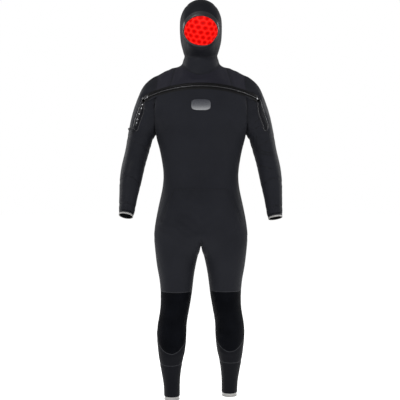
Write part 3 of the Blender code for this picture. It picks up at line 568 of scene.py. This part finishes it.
def knee_rubber(name, colour):
    """Abrasion pad: dark coated cloth with a fine raised diamond grip, worn a little smoother."""
    m = Nodes(name, Specular_IOR_Level=0.025)
    uv, place = m.coordinates(), m.coordinates("Object")
    cells = m.add("TexVoronoi", {"Vector": uv, "Scale": 260.0, "Randomness": 0.15},
                  feature="DISTANCE_TO_EDGE").outputs["Distance"]
    wear = m.noise(place, 16.0, 5.0)
    m.set("Base Color", m.ramp(wear, (0.3, scaled(colour, 0.75)), (0.72, scaled(colour, 1.5))))
    m.set("Roughness", m.ramp(wear, (0.3, 0.62), (0.75, 0.46)))
    m.bump(m.ramp(cells, (0.0, 0.0), (0.12, 1.0)), 0.0003, 0.8)
    return m.material


def stitched(name, colour, specular):
    """Flatlock tape: crossing threads between two rows of needle holes; v runs across the seam."""
    m = Nodes(name, Specular_IOR_Level=specular, Roughness=0.6)
    u, v, _ = m.add("SeparateXYZ", {"Vector": m.coordinates()}).outputs
    lean = m.math("MULTIPLY", m.math("ABSOLUTE", m.math("SUBTRACT", v, 0.5)), STITCH_PITCH * 2)
    turn = m.math("MULTIPLY", m.math("ADD", u, lean), 2 * math.pi / STITCH_PITCH)
    rows = m.math("SINE", m.math("MULTIPLY", v, 5 * math.pi))
    height = m.math("ADD", m.math("MULTIPLY", m.math("SINE", turn), 0.6),
                    m.math("MULTIPLY", rows, 0.4))
    m.set("Base Color", m.ramp(m.math("MULTIPLY_ADD", height, 0.5, 0.5),
                               (0.1, scaled(colour, 0.45)), (0.8, scaled(colour, 1.25))))
    m.bump(height, 0.0004, 0.9)
    return m.material


def honeycomb(name):
    """Red quick-dry lining: round quilted cells, darker in the middle, between bright lines. It
    also glows a little, a painted glow that brightens the shaded inside of the hood.
    """
    # the emission strength is a painted glow, not a lamp
    m = Nodes(name, Specular_IOR_Level=0.25, Roughness=0.5, Sheen_Weight=0.2,
              Emission_Strength=0.34)
    flat = m.vector("MULTIPLY", m.coordinates(), (1 / HONEYCOMB_PITCH, 1 / HONEYCOMB_PITCH, 0))
    flat = m.add("VectorRotate", {"Vector": flat, "Angle": math.radians(10)},
                 rotation_type="Z_AXIS").outputs[0]
    step, half = (1.0, math.sqrt(3.0), 1.0), (0.5, math.sqrt(3.0) / 2, 0.5)
    distances = []
    for start in (flat, m.vector("ADD", flat, half)):
        cell = m.vector("SUBTRACT", m.vector("WRAP", start, step, (0, 0, 0)), half)
        distances.append(m.vector("LENGTH", m.vector("MULTIPLY", cell, (1, 1, 0))))
    radius = m.math("MINIMUM", *distances)
    m.set("Base Color", m.ramp(radius, (0.0, (0.62, 0.006, 0.006)), (0.20, (0.64, 0.007, 0.007)),
                               (0.30, (0.84, 0.016, 0.012)), (0.40, (0.92, 0.030, 0.022)),
                               (0.49, (1.0, 0.12, 0.09))))
    # painted glow: the lining lights itself, brighter along the cell lines, to lift the shade
    # inside the hood
    m.set("Emission Color", m.ramp(radius, (0.2, (0.45, 0.002, 0.002)), (0.5, (1.0, 0.03, 0.02))))
    swell = m.bump(m.ramp(radius, (0.2, 1.0), (0.5, 0.0)), 0.0016, 0.8)
    m.bump(m.noise(m.coordinates("Object"), 700.0, 2.0), 0.0002, 0.5, swell)
    return m.material


def rubber(name, colour, roughness=0.45, specular=0.35, ribs=None):
    """Moulded or latex-like rubber with a powdery bloom; ribs gives raised lines at that pitch."""
    m = Nodes(name, Specular_IOR_Level=specular)
    place = m.coordinates("Object")
    bloom = m.noise(place, 24.0, 5.0)
    m.set("Base Color", m.ramp(bloom, (0.3, scaled(colour, 0.86)), (0.7, scaled(colour, 1.12))))
    m.set("Roughness", m.ramp(bloom, (0.3, roughness - 0.06), (0.7, roughness + 0.10)))
    grain = m.bump(m.noise(place, 600.0, 2.0), 0.00015, 0.5)
    if ribs:
        wave = m.wave(place, math.pi / (ribs * 20), "Z", Distortion=0.2)
        m.bump(wave, 0.0004, 0.5, grain)
    return m.material


def metal(name, colour, roughness=0.26):
    """Cast zip metal, brushed and a little scuffed."""
    m = Nodes(name, Metallic=1.0)
    place = m.coordinates("Object")
    scuff = m.noise(m.vector("MULTIPLY", place, (1, 1, 6)), 260.0, 4.0)
    m.set("Base Color", m.ramp(scuff, (0.3, scaled(colour, 0.8)), (0.7, colour)))
    m.set("Roughness", m.ramp(scuff, (0.3, roughness - 0.08), (0.75, roughness + 0.14)))
    m.bump(scuff, 0.00005, 0.4)
    return m.material


def woven(name, colour, pitch=0.0009, specular=0.25):
    """Plain-woven tape or webbing."""
    m = Nodes(name, Specular_IOR_Level=specular, Roughness=0.62)
    where, scale = m.coordinates("Object"), math.pi / (pitch * 20)
    weave = m.math("MULTIPLY", m.wave(where, scale, "X"), m.wave(where, scale, "Y"))
    m.set("Base Color", m.ramp(weave, (0.0, scaled(colour, 0.6)), (0.8, scaled(colour, 1.2))))
    m.bump(weave, 0.0002, 0.8)
    return m.material


def badge_with_painted_reflection(name):
    """Glossy moulded badge: smoky grey, lighter towards its lower edge and darker towards its top,
    a painted reflection.
    """
    m = Nodes(name, Specular_IOR_Level=0.5, Coat_Weight=0.6, Coat_Roughness=0.12)
    place = m.coordinates("Object")
    low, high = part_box("chest_badge")
    _, _, z = m.add("SeparateXYZ", {"Vector": place}).outputs
    share = m.add("MapRange", {"Value": z, "From Min": low.z, "From Max": high.z}).outputs["Result"]
    fleck = m.noise(place, 300.0, 3.0)
    tone = m.math("MULTIPLY_ADD", fleck, 0.12, share)
    # painted reflection: the colour runs from light at the bottom of the badge to dark at its top
    m.set("Base Color", m.ramp(tone, (0.05, (0.20, 0.205, 0.215)), (0.45, (0.070, 0.073, 0.082)),
                               (1.0, (0.022, 0.024, 0.032))))
    m.set("Roughness", m.ramp(fleck, (0.3, 0.22), (0.7, 0.34)))
    return m.material


CHARCOAL = (0.0112, 0.0118, 0.0152)
YOKE_GREY = (0.0138, 0.0136, 0.0192)
LOWER_LEG = (0.0046, 0.0049, 0.0068)
FINISHES = {
    "body": neoprene("neoprene_charcoal", CHARCOAL),
    "yoke": neoprene("neoprene_shoulders", YOKE_GREY),
    "hood": neoprene("neoprene_hood_smooth", scaled(CHARCOAL, 0.72), grain=0.7),
    "leg": neoprene("neoprene_lower_leg", LOWER_LEG),
    "garage": neoprene("neoprene_zip_strip", scaled(CHARCOAL, 0.55), sheen=0.05),
    "knee": knee_rubber("knee_pad_rubber", (0.0016, 0.0019, 0.0030)),
    "seam": stitched("seam_thread_dark", (0.0105, 0.0110, 0.0140), 0.08),
    "seam_light": stitched("seam_thread_light", (0.023, 0.024, 0.028), 0.12),
    "piping": rubber("zip_piping_gloss", (0.016, 0.016, 0.018), 0.22, 0.5),
    "liner": honeycomb("lining_red_honeycomb_painted_glow"),
    "seal": rubber("seal_grey_latex", (0.30, 0.295, 0.285), ribs=0.004),
    "face_seal": rubber("face_seal_smooth", (0.011, 0.011, 0.013), 0.40),
    "metal": metal("zip_metal", (0.45, 0.45, 0.47)),
    "teeth": metal("zip_teeth_metal", (0.20, 0.20, 0.21), 0.34),
    "tape": woven("zip_tape_woven", (0.0045, 0.0045, 0.0050), specular=0.12),
    # black rubber flap, darkened further as painted shade for the shadow under its edge
    "flap": rubber("zip_flap_black_painted_shade", (0.0022, 0.0022, 0.0026), 0.5, 0.10),
    "webbing": woven("leash_webbing", (0.013, 0.013, 0.015), 0.0014),
    "pull": rubber("pull_rubber", (0.012, 0.012, 0.014), 0.42),
    "badge": badge_with_painted_reflection("badge_grey_painted_reflection"),
    "vent": rubber("vent_moulded", (0.030, 0.030, 0.033), 0.40),
    "thread": rubber("zip_thread", (0.020, 0.020, 0.022), 0.5, 0.15),
    # painted shade: near black for the seals' inner faces
    "inside": rubber("seal_inside_painted_shade", (0.0035, 0.0035, 0.004), 0.7, 0.05),
    "print": rubber("sleeve_line_print", (0.0040, 0.0042, 0.0050), 0.42, 0.10),
}


PANEL_FINISHES = (
    ("hood_face_seal", "face_seal", "smooth_rubber"), ("knee_pad", "knee", "knee_rubber"),
    ("zip_garage", "garage", "smooth_rubber"), ("hood_", "hood", "neoprene"),
    ("yoke", "yoke", "neoprene"), ("shoulder", "yoke", "neoprene"),
    ("ankle_cuff", "leg", "neoprene"), ("shin_panel", "leg", "neoprene"),
    ("calf_panel", "leg", "neoprene"))


def finish_of(panel):
    """Finish and record slot of a panel, from the start of its name."""
    for start, finish, slot_name in PANEL_FINISHES:
        if panel.startswith(start):
            return finish, slot_name
    return "body", "neoprene"


# ---------------------------------------------------------------- panels
def lay_uv(mesh, zone):
    """Lays u in metres around the zone's limb and v up it, so that the knit follows the body."""
    points = [v.co for v in mesh.vertices]
    centre = sum(points, Vector()) / len(points)
    if zone in ("torso", "head"):
        centre.x = centre.y = 0.0
    reach = sum(math.hypot(p.x - centre.x, p.y - centre.y) for p in points) / len(points)
    layer = mesh.uv_layers.new(name="wrap")
    for polygon in mesh.polygons:
        first = None
        for loop in polygon.loop_indices:
            p = points[mesh.loops[loop].vertex_index]
            angle = math.atan2(p.x - centre.x, centre.y - p.y)
            if first is None:
                first = angle
            angle += 2 * math.pi * round((first - angle) / (2 * math.pi))
            layer.data[loop].uv = (angle * reach, p.z)


def cut_out(faces, outer_depth, inner_depth):
    """Closed sheet between two depths under some faces of the skin, and its corners' normals."""
    bm = bmesh.new()
    outer, inner, normals = {}, {}, []
    for face in faces:
        for vertex in face.verts:
            if vertex not in outer:
                outer[vertex] = bm.verts.new(vertex.co - vertex.normal * outer_depth)
                inner[vertex] = bm.verts.new(vertex.co - vertex.normal * inner_depth)
    chosen = set(faces)
    for face in faces:
        bm.faces.new([outer[v] for v in face.verts])
        normals += [v.normal.copy() for v in face.verts]
        bm.faces.new([inner[v] for v in reversed(face.verts)])
        normals += [-v.normal for v in reversed(face.verts)]
        for loop in face.loops:
            if not any(other in chosen for other in loop.edge.link_faces if other is not face):
                a, b = loop.vert, loop.link_loop_next.vert
                wall = bm.faces.new([outer[b], outer[a], inner[a], inner[b]])
                wall.normal_update()
                normals += [wall.normal.copy()] * 4
    for face in bm.faces:
        face.smooth = True
    return bm, normals


def build_panels():
    """Every panel at its real thickness, shaded like the whole skin up to its seams."""
    by_panel = {}
    for face in SURFACE.faces:
        by_panel.setdefault(face.material_index, []).append(face)
    for number, name in enumerate(PANELS):
        finish, slot_name = finish_of(name)
        thickness = HOOD_THICKNESS if name.startswith("hood_") else BODY_THICKNESS
        bm, normals = cut_out(by_panel[number], 0.0, thickness)
        piece = new_object(name + "_skin", bm, FINISHES[finish])
        piece.data.normals_split_custom_set(normals)
        lay_uv(piece.data, zone_of(name))
        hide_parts(name)
        attach(piece, zone_of(name))


# ---------------------------------------------------------------- seams
def chains_of(edges):
    """Orders loose edges into runs of vertices; a closed run ends where it starts."""
    around = {}
    for edge in edges:
        for vertex in edge.verts:
            around.setdefault(vertex, []).append(edge)
    left, runs = set(edges), []
    for start in [v for v, touching in around.items() if len(touching) != 2] + list(around):
        for first in around[start]:
            if first not in left:
                continue
            run, edge = [start], first
            while edge in left:
                left.discard(edge)
                run.append(edge.other_vert(run[-1]))
                onward = [e for e in around[run[-1]] if e in left]
                if len(around[run[-1]]) != 2 or not onward:
                    break
                edge = onward[0]
            runs.append(run)
    return runs


def is_closed(points):
    return (points[0] - points[-1]).length < 1e-6


def even_path(points, spacing):
    """Points at an even spacing along a run, softened so that the cage's corners don't show."""
    points = [p.copy() for p in points]
    closed = is_closed(points)
    for _ in range(2):
        rounded = [p.copy() for p in points]
        for i in range(1, len(points) - 1):
            rounded[i] = (points[i - 1] + points[i] * 2 + points[i + 1]) / 4
        if closed and len(points) > 3:
            rounded[0] = rounded[-1] = (points[-2] + points[0] * 2 + points[1]) / 4
        points = rounded
    lengths = [0.0]
    for a, b in zip(points, points[1:]):
        lengths.append(lengths[-1] + (b - a).length)
    count = max(2, round(lengths[-1] / spacing))
    path, i = [], 0
    for step in range(count + 1):
        want = lengths[-1] * step / count
        while i < len(points) - 2 and lengths[i + 1] < want:
            i += 1
        share = (want - lengths[i]) / max(lengths[i + 1] - lengths[i], 1e-9)
        path.append(points[i].lerp(points[i + 1], share))
    return path


def ribbon(bm, path, width, rise):
    """Lays a low raised tape along a path on the skin, with u in metres along and v across."""
    layer = bm.loops.layers.uv.verify()
    profile = ((-0.5, -TAPE_SINK), (-0.42, rise * 0.55), (-0.2, rise), (0.2, rise),
               (0.42, rise * 0.55), (0.5, -TAPE_SINK))
    closed, last = is_closed(path), len(path) - 1
    rows, distances = [], [0.0]
    for i, point in enumerate(path):
        ahead = path[1] if closed and i == last else path[min(i + 1, last)]
        behind = path[-2] if closed and i == 0 else path[max(i - 1, 0)]
        if i:
            distances.append(distances[-1] + (point - path[i - 1]).length)
        place, normal = on_surface(point)
        side = (ahead - behind).cross(normal).normalized()
        rows.append([bm.verts.new(on_surface(place + side * share * width)[0] + normal * height)
                     for share, height in profile])
    bands = len(profile) - 1
    for i, j in itertools.product(range(last), range(bands)):
        corners = ((i, j), (i + 1, j), (i + 1, j + 1), (i, j + 1))
        face = bm.faces.new([rows[a][b] for a, b in corners])
        face.smooth = True
        for loop, (a, b) in zip(face.loops, corners):
            loop[layer].uv = (distances[a], b / bands)


def seam_style(names):
    """Width, rise and finish of the seam between two panels."""
    joined = " ".join(names)
    down_the_shin = "shin_panel" in joined and "calf" in joined
    if down_the_shin or "knee_pad" in joined or "ankle_cuff" in joined:
        return 0.0040, 0.0005, "seam_light"
    if "zip_garage" in joined:
        return 0.0034, 0.0014, "piping"
    if "hood_face_seal" in joined:
        return 0.0040, 0.0005, "face_seal"
    if all(name.startswith("hood_") for name in names):
        return 0.0042, 0.0004, "hood"
    if "crotch_gusset" in joined:
        return 0.0036, 0.0002, "body"
    return SEAM_WIDTH, SEAM_RISE, "seam"


def build_seams():
    """A tape over every visible line between two panels."""
    shared = {}
    for edge in SURFACE.edges:
        numbers = tuple(sorted(face.material_index for face in edge.link_faces))
        if len(numbers) == 2 and numbers[0] != numbers[1]:
            shared.setdefault(numbers, []).append(edge)
    for numbers, edges in shared.items():
        names = [PANELS[number] for number in numbers]
        if is_flush(*names):
            continue
        width, rise, finish = seam_style(names)
        bm = bmesh.new()
        for run in chains_of(edges):
            ribbon(bm, even_path([v.co for v in run], TAPE_STEP), width, rise)
        piece = new_object("seam_" + "_".join(names), bm, FINISHES[finish])
        zone = next((zone_of(n) for n in names if zone_of(n) != "torso"), "torso")
        attach(piece, zone)


# ---------------------------------------------------------------- open rims: seals and face bead
def open_rims():
    """The skin's open edges as closed runs of vertices, under the name of what they belong to."""
    rims = {}
    for run in chains_of(open_edges(SURFACE)):
        if run[0] is not run[-1]:
            run.append(run[0])
        touching = [PANELS[face.material_index] for vertex in run for face in vertex.link_faces]
        panel = max(PANELS, key=touching.count)
        rims[panel if panel.startswith(("wrist_cuff", "ankle_cuff", "hood_")) else "zip"] = run
    return rims


def circle(bm, centre, side, other, radius, count):
    """New vertices evenly around a centre, in the plane of two directions."""
    turns = (2 * math.pi * k / count for k in range(count))
    return [bm.verts.new(centre + (side * math.cos(a) + other * math.sin(a)) * radius)
            for a in turns]


def bridge(bm, ring, after, shift=0, mark=0):
    """A band of faces between two rings of vertices; mark is its material."""
    count = len(ring)
    for j in range(count):
        face = bm.faces.new([ring[j], ring[(j + 1) % count],
                             after[(j + 1 + shift) % count], after[(j + shift) % count]])
        face.smooth = True
        face.material_index = mark


def build_cuff_seal(kind, side, rim, grey_from):
    """Seal folded out under a cuff: binding, grey latex band with a rolled hem, and inner faces
    painted near black as the shade inside the opening.
    """
    node = f"{kind}_seal_{side}"
    points = even_path([v.co for v in rim], 0.0055)[:-1]
    centre = sum(points, Vector()) / len(points)
    axis = Vector()
    for a, b in zip(points, points[1:] + points[:1]):
        axis += (a - centre).cross(b - centre)
    axis.normalize()
    cuff_low, cuff_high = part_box(f"{kind}_cuff_{side}")
    if axis.dot(centre - (cuff_low + cuff_high) / 2) < 0:
        axis.negate()
    length = max((v.co - centre).dot(axis) for v in NODES[node].data.vertices)
    grey = length * grey_from
    # the inside band is painted shade: near black on the inner faces, standing in for the shade
    # within the opening
    upper, latex, inside = range(3)
    # distance down from the cuff's edge, distance in from it, and the band that follows
    profile = ((-0.012, 0.0072, inside), (0.0004, 0.0070, inside), (0.0010, 0.0030, upper),
               (0.0018, 0.0014, upper), (grey, 0.0012, upper), (grey + 0.0006, 0.0020, latex),
               (length * (0.5 + 0.5 * grey_from), 0.0024, latex), (length - 0.0030, 0.0018, latex),
               (length - 0.0014, 0.0008, latex), (length - 0.0002, 0.0012, latex),
               (length, 0.0026, latex), (length - 0.0012, 0.0040, inside),
               (length - 0.0040, 0.0042, inside), (length * 0.4, 0.0052, inside),
               (0.0, 0.0084, inside), (-0.012, 0.0086, inside))
    bm = bmesh.new()
    rings = []
    for down, inset, _ in profile:
        ring = []
        for point in points:
            outward = point - centre
            outward -= axis * outward.dot(axis)
            wave = 0.0004 * noise.noise(point * 60.0 + axis * down * 90.0)
            place = point - outward.normalized() * (inset + wave) + axis * down
            ring.append(bm.verts.new(place))
        rings.append(ring)
    for i, (_, _, mark) in enumerate(profile):
        bridge(bm, rings[i], rings[(i + 1) % len(rings)], mark=mark)
    bmesh.ops.recalc_face_normals(bm, faces=bm.faces)
    piece = new_object(node + "_latex", bm, FINISHES["body"])
    piece.data.materials.append(FINISHES["seal"])
    # painted shade for the inner faces
    piece.data.materials.append(FINISHES["inside"])
    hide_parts(node)
    attach(piece, zone_of(node))


def build_face_bead(rim):
    """Round bead along the edge of the face opening."""
    bm = bmesh.new()
    path = even_path([v.co - v.normal * 0.0016 for v in rim], 0.005)[:-1]
    rings, side = [], None
    for i, point in enumerate(path):
        along = (path[(i + 1) % len(path)] - path[i - 1]).normalized()
        if side is None:
            side = along.orthogonal()
        side = (side - along * side.dot(along)).normalized()
        rings.append(circle(bm, point, side, along.cross(side), 0.0023, 8))
    for ring, after in zip(rings, rings[1:]):
        bridge(bm, ring, after)
    shift = min(range(8), key=lambda k: (rings[-1][0].co - rings[0][k].co).length)
    bridge(bm, rings[-1], rings[0], shift)
    attach(new_object("face_opening_bead", bm, FINISHES["face_seal"]), "head")


def build_rims():
    rims = open_rims()
    for side in SIDES:
        build_cuff_seal("wrist", side, rims["wrist_cuff_" + side], 0.55)
        build_cuff_seal("ankle", side, rims["ankle_cuff_" + side], 0.12)
    build_face_bead(rims["hood_face_seal"])


# ---------------------------------------------------------------- lining
def build_liner():
    """Red lining held just inside the hood, with the honeycomb wrapped round the head."""
    low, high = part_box("hood_liner")

    def above_throat(face):
        place = face.calc_center_median()
        return place.z > low.z + 0.4 * max(0.0, -place.y)

    faces = [face for face in SURFACE.faces
             if PANELS[face.material_index].startswith("hood_") and above_throat(face)]
    bm, _ = cut_out(faces, HOOD_THICKNESS + 0.0008, HOOD_THICKNESS + 0.0020)
    piece = new_object("hood_liner_honeycomb", bm, FINISHES["liner"])
    mesh = piece.data
    centre, reach = (low + high) / 2, (high.x - low.x) / 2
    layer = mesh.uv_layers.new(name="wrap")
    for loop in mesh.loops:
        p = mesh.vertices[loop.vertex_index].co - centre
        layer.data[loop.index].uv = (1.15 * reach * math.atan2(p.x, p.y + 0.02), p.z)
    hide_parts("hood_liner")
    attach(piece, "head")


# ---------------------------------------------------------------- zip
class ZipArc:
    """Places things by angle along the zip's arc, height out of it and offset up across it."""

    def __init__(self):
        joint = JOINTS["zip_slide"]
        self.centre = Vector(joint["pos_m"])
        self.up = Vector(joint["axis"]).normalized()
        if self.up.z < 0:
            self.up.negate()
        self.across = Vector((1, 0, 0))
        self.outward = self.across.cross(self.up).normalized()
        if self.outward.y > 0:
            self.outward.negate()
        offsets = [v.co - self.centre for v in NODES["zip_chain"].data.vertices]
        flats = [offset - self.up * offset.dot(self.up) for offset in offsets]
        angles = [math.atan2(flat.dot(self.across), flat.dot(self.outward)) for flat in flats]
        self.radius = max(flat.length for flat in flats)
        self.first, self.last = min(angles), max(angles)

    def axes(self, angle):
        """Directions along the arc, out of it and up across it."""
        way = self.across * math.sin(angle) + self.outward * math.cos(angle)
        along = self.across * math.cos(angle) - self.outward * math.sin(angle)
        return along, way, self.up

    def point(self, angle, out, up):
        return self.centre + self.axes(angle)[1] * (self.radius + out) + self.up * up

    def steps(self, pitch, margin=0.0):
        """How many times the pitch fits between the zip's ends, less a margin in radians."""
        return int((self.last - self.first - 2 * margin) * self.radius / pitch)


def rounded_block(bm, origin, axes, size, bevel):
    """Small block with cut corners, centred on origin; size and axes are along, out, up."""
    hull = []
    for signs in itertools.product((-1, 1), repeat=3):
        for keep in range(3):
            reach = [signs[n] * (size[n] / 2 - (bevel if n != keep else 0.0)) for n in range(3)]
            place = origin + axes[0] * reach[0] + axes[1] * reach[1] + axes[2] * reach[2]
            hull.append(bm.verts.new(place))
    bmesh.ops.convex_hull(bm, input=hull)


def stitch_row(bm, arc, out, up):
    """Row of raised thread stitches along the zip."""
    pitch, margin, size, bevel = 0.0042, 0.02, (0.0029, 0.0007, 0.0008), 0.00022
    for k in range(arc.steps(pitch, margin)):
        angle = arc.first + margin + (k + 0.5) * pitch / arc.radius
        rounded_block(bm, arc.point(angle, out, up), arc.axes(angle), size, bevel)


def refined(node, suffix, body, finish, bevel, shift=(0, 0, 0)):
    """Softens a CAD piece's edges and stands for it; shift seats it on the smoothed skin."""
    mesh = NODES[node].data.copy()
    piece = new_object(f"{node}_{suffix}", mesh, FINISHES[finish])
    bm = bmesh.new()
    bm.from_mesh(mesh)
    bmesh.ops.translate(bm, verts=bm.verts, vec=shift)
    bmesh.ops.remove_doubles(bm, verts=bm.verts, dist=SAME_POINT)
    bmesh.ops.dissolve_limit(bm, angle_limit=math.radians(2), verts=bm.verts, edges=bm.edges)
    bm.to_mesh(mesh)
    bm.free()
    modifier = piece.modifiers.new("soft_edges", "BEVEL")
    modifier.width, modifier.segments, modifier.limit_method = bevel, 2, "ANGLE"
    modifier.angle_limit = math.radians(38)
    bake_modifiers(piece)
    for polygon in piece.data.polygons:
        polygon.use_smooth = True
    piece.data.set_sharp_from_angle(angle=math.radians(42))
    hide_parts(node)
    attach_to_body(piece, body)


def build_zip():
    """Two interlocking rows of teeth, stitching, and the zip's softened CAD pieces."""
    arc = ZipArc()
    pitch, size, bevel, sunk, apart = 0.0030, (0.0013, 0.0026, 0.0030), 0.00035, -0.0004, 0.0008
    bm = bmesh.new()
    for k in range(arc.steps(pitch)):
        for share, offset in ((0.25, -apart), (0.75, apart)):
            angle = arc.first + (k + share) * pitch / arc.radius
            rounded_block(bm, arc.point(angle, sunk, offset), arc.axes(angle), size, bevel)
    teeth = new_object("zip_chain_teeth", bm, FINISHES["teeth"])
    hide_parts("zip_chain")
    attach(teeth, "torso")
    bm = bmesh.new()
    for out, up in ((0.0011, 0.0074), (0.0011, 0.0146), (-0.0016, -0.0122)):
        stitch_row(bm, arc, out, up)
    attach(new_object("zip_stitching", bm, FINISHES["thread"]), "torso")
    for node in ("zip_tape_upper", "zip_tape_lower", "zip_under_flap"):
        refined(node, "woven", "torso", "tape", 0.0004)
    # the flap's near black is partly its rubber and partly painted shade for the shadow under its
    # edge
    refined("zip_flap", "moulded", "torso", "flap", 0.0007)
    for side in SIDES:
        refined("zip_end_stop_" + side, "detail", "torso", "metal", 0.0008)
    refined("zip_slider", "detail", "zip_slider", "metal", 0.0007)
    refined("zip_pull_tab", "detail", "zip_pull", "pull", 0.0005)
    refined("zip_pull_leash", "webbing", "torso", "webbing", 0.0005)
    refined("zip_pull_toggle", "moulded", "torso", "pull", 0.0012)


def build_leash_studs():
    """Metal rivets along the webbing that leads to the toggle."""
    count, sides = 5, 12
    profile = ((0.0028, -0.0002), (0.0028, 0.0004), (0.0021, 0.0011), (0.0009, 0.0014))
    strap = NODES["zip_pull_leash"].data
    corners = [v.co.copy() for v in strap.vertices]
    tree = BVHTree.FromPolygons(corners, [p.vertices[:] for p in strap.polygons])
    points = sorted(corners, key=lambda p: -p.z)
    top, bottom = points[0].z, points[-1].z
    bm = bmesh.new()
    for k in range(count):
        z = top + (bottom - top) * (k + 0.5) / count
        near = [p for p in points if abs(p.z - z) < 0.02]
        middle = sum(near, Vector()) / len(near)
        _, normal = on_surface(middle)
        hit, out, _, _ = tree.ray_cast(middle + normal * 0.02, -normal)
        if hit is None:
            continue
        side = out.orthogonal().normalized()
        rings = [circle(bm, hit + out * height, side, out.cross(side), radius, sides)
                 for radius, height in profile]
        for ring, after in zip(rings, rings[1:]):
            bridge(bm, ring, after)
        bm.faces.new(rings[-1])
        bm.faces.new(list(reversed(rings[0])))
    attach(new_object("zip_pull_leash_rivets", bm, FINISHES["metal"]), "torso")


# ---------------------------------------------------------------- badge, vent and sleeve lines
def seat_shift(node):
    """How far a stuck-on CAD piece moves so that its foot sinks a hair into the skin."""
    corners = [v.co for v in NODES[node].data.vertices]
    middle = sum(corners, Vector()) / len(corners)
    place, normal = on_surface(middle)
    foot = min((corner - place).dot(normal) for corner in corners)
    return -normal * (foot + 0.0008)


def build_badge_and_vent():
    refined("chest_badge", "moulded", "torso", "badge", 0.0006, seat_shift("chest_badge"))
    refined("hood_air_vent", "moulded", "hood", "vent", 0.0006,
            seat_shift("hood_air_vent"))


def rounded_line(corners, steps=8):
    """Points of a smooth curve through the corners."""
    curve = []
    for i in range(len(corners) - 1):
        a, b, c, d = (corners[min(max(j, 0), len(corners) - 1)] for j in range(i - 1, i + 3))
        for t in (step / steps for step in range(steps)):
            curve.append(0.5 * (2 * b + (c - a) * t + (2 * a - 5 * b + 4 * c - d) * t * t
                                + (3 * b - a - 3 * c + d) * t ** 3))
    return curve + [corners[-1]]


def build_sleeve_lines():
    """Plain lines on the left sleeve: a double one down to the elbow, a short one, two arcs."""
    elbow = pivot_of("elbow_left")
    # corners as distances to the side of the elbow and up from it
    lines = [((-0.062 + gap, 0.105), (-0.060 + gap, 0.070), (-0.044 + gap, 0.040 + gap * 0.6),
              (-0.016, 0.026 + gap), (0.022, 0.022 + gap)) for gap in (0.0, 0.011)]
    lines.append(((-0.040, -0.018), (-0.014, -0.028), (0.018, -0.036)))
    lines += [((-0.058, 0.165 - drop), (-0.036, 0.178 - drop), (-0.014, 0.168 - drop),
               (0.006, 0.140 - drop)) for drop in (0.0, 0.030)]
    bm = bmesh.new()
    for line in lines:
        path = []
        for spot in rounded_line([Vector((elbow.x + x, elbow.z + z)) for x, z in line]):
            hit = SURFACE_TREE.ray_cast(Vector((spot.x, -1.0, spot.y)), Vector((0, 1, 0)))[0]
            if hit:
                path.append(hit)
        ribbon(bm, even_path(path, 0.003), 0.0030, 0.0004)
    attach(new_object("sleeve_lines_left", bm, FINISHES["print"]), "sleeve_left")


build_panels()
build_seams()
build_rims()
build_liner()
build_zip()
build_leash_studs()
build_badge_and_vent()
build_sleeve_lines()


# ---------------------------------------------------------------- stage
def build_world(light_strength):
    """White surroundings that light the suit softly and look plain white to the camera."""
    world = bpy.data.worlds.new("studio")
    world.use_nodes = True
    tree = world.node_tree
    lighting = tree.nodes["Background"]
    lighting.inputs["Color"].default_value = (1, 1, 1, 1)
    lighting.inputs["Strength"].default_value = light_strength
    seen = tree.nodes.new("ShaderNodeBackground")
    seen.inputs["Color"].default_value = (1, 1, 1, 1)
    mix = tree.nodes.new("ShaderNodeMixShader")
    path = tree.nodes.new("ShaderNodeLightPath")
    tree.links.new(path.outputs["Is Camera Ray"], mix.inputs["Fac"])
    tree.links.new(lighting.outputs[0], mix.inputs[1])
    tree.links.new(seen.outputs[0], mix.inputs[2])
    tree.links.new(mix.outputs[0], tree.nodes["World Output"].inputs["Surface"])
    bpy.context.scene.world = world


def build_stage():
    """Pale floor, white surroundings and four soft lights."""
    low, high = CAD_BOX
    build_world(0.34)
    floor_mesh = bmesh.new()
    bmesh.ops.create_grid(floor_mesh, x_segments=2, y_segments=2, size=14.0)
    pale = Nodes("floor_pale", Base_Color=(0.92, 0.92, 0.92, 1), Roughness=0.9,
                 Specular_IOR_Level=0.1, Emission_Color=(1, 1, 1, 1), Emission_Strength=0.70)
    floor = new_object("floor", floor_mesh, pale.material)
    floor.location.z = low[2] - 0.10
    aim = Vector((0, 0, (low[2] + high[2]) / 2 + 0.1))
    for name, place, size, power in (("key", (-1.5, -2.6, 2.6), 1.2, 95),
                                     ("fill", (2.6, -2.6, 1.0), 1.4, 34),
                                     ("rim_left", (2.2, 1.2, 0.3), 1.2, 30),
                                     ("rim_right", (-2.2, 1.2, 0.3), 1.2, 30)):
        data = bpy.data.lights.new(name, "AREA")
        data.size, data.energy = size, power
        light = new_object(name, data)
        light.location = place
        light.rotation_euler = (aim - Vector(place)).to_track_quat("-Z", "Y").to_euler()


def build_camera():
    """Frames the suit from in front, a little above its middle, with a long lens."""
    view_width, distance, height = 1.752, 4.5, -0.350
    target = Vector((-0.004, 0.0, -0.574))
    data = bpy.data.cameras.new("camera")
    data.lens = data.sensor_width * distance / view_width
    camera = new_object("camera", data)
    camera.location = Vector((target.x, -distance, height))
    camera.rotation_euler = (target - camera.location).to_track_quat("-Z", "Y").to_euler()
    bpy.context.scene.camera = camera


build_stage()
build_camera()
bpy.context.scene.view_settings.view_transform = "Standard"
bpy.data.objects.remove(SKIN)
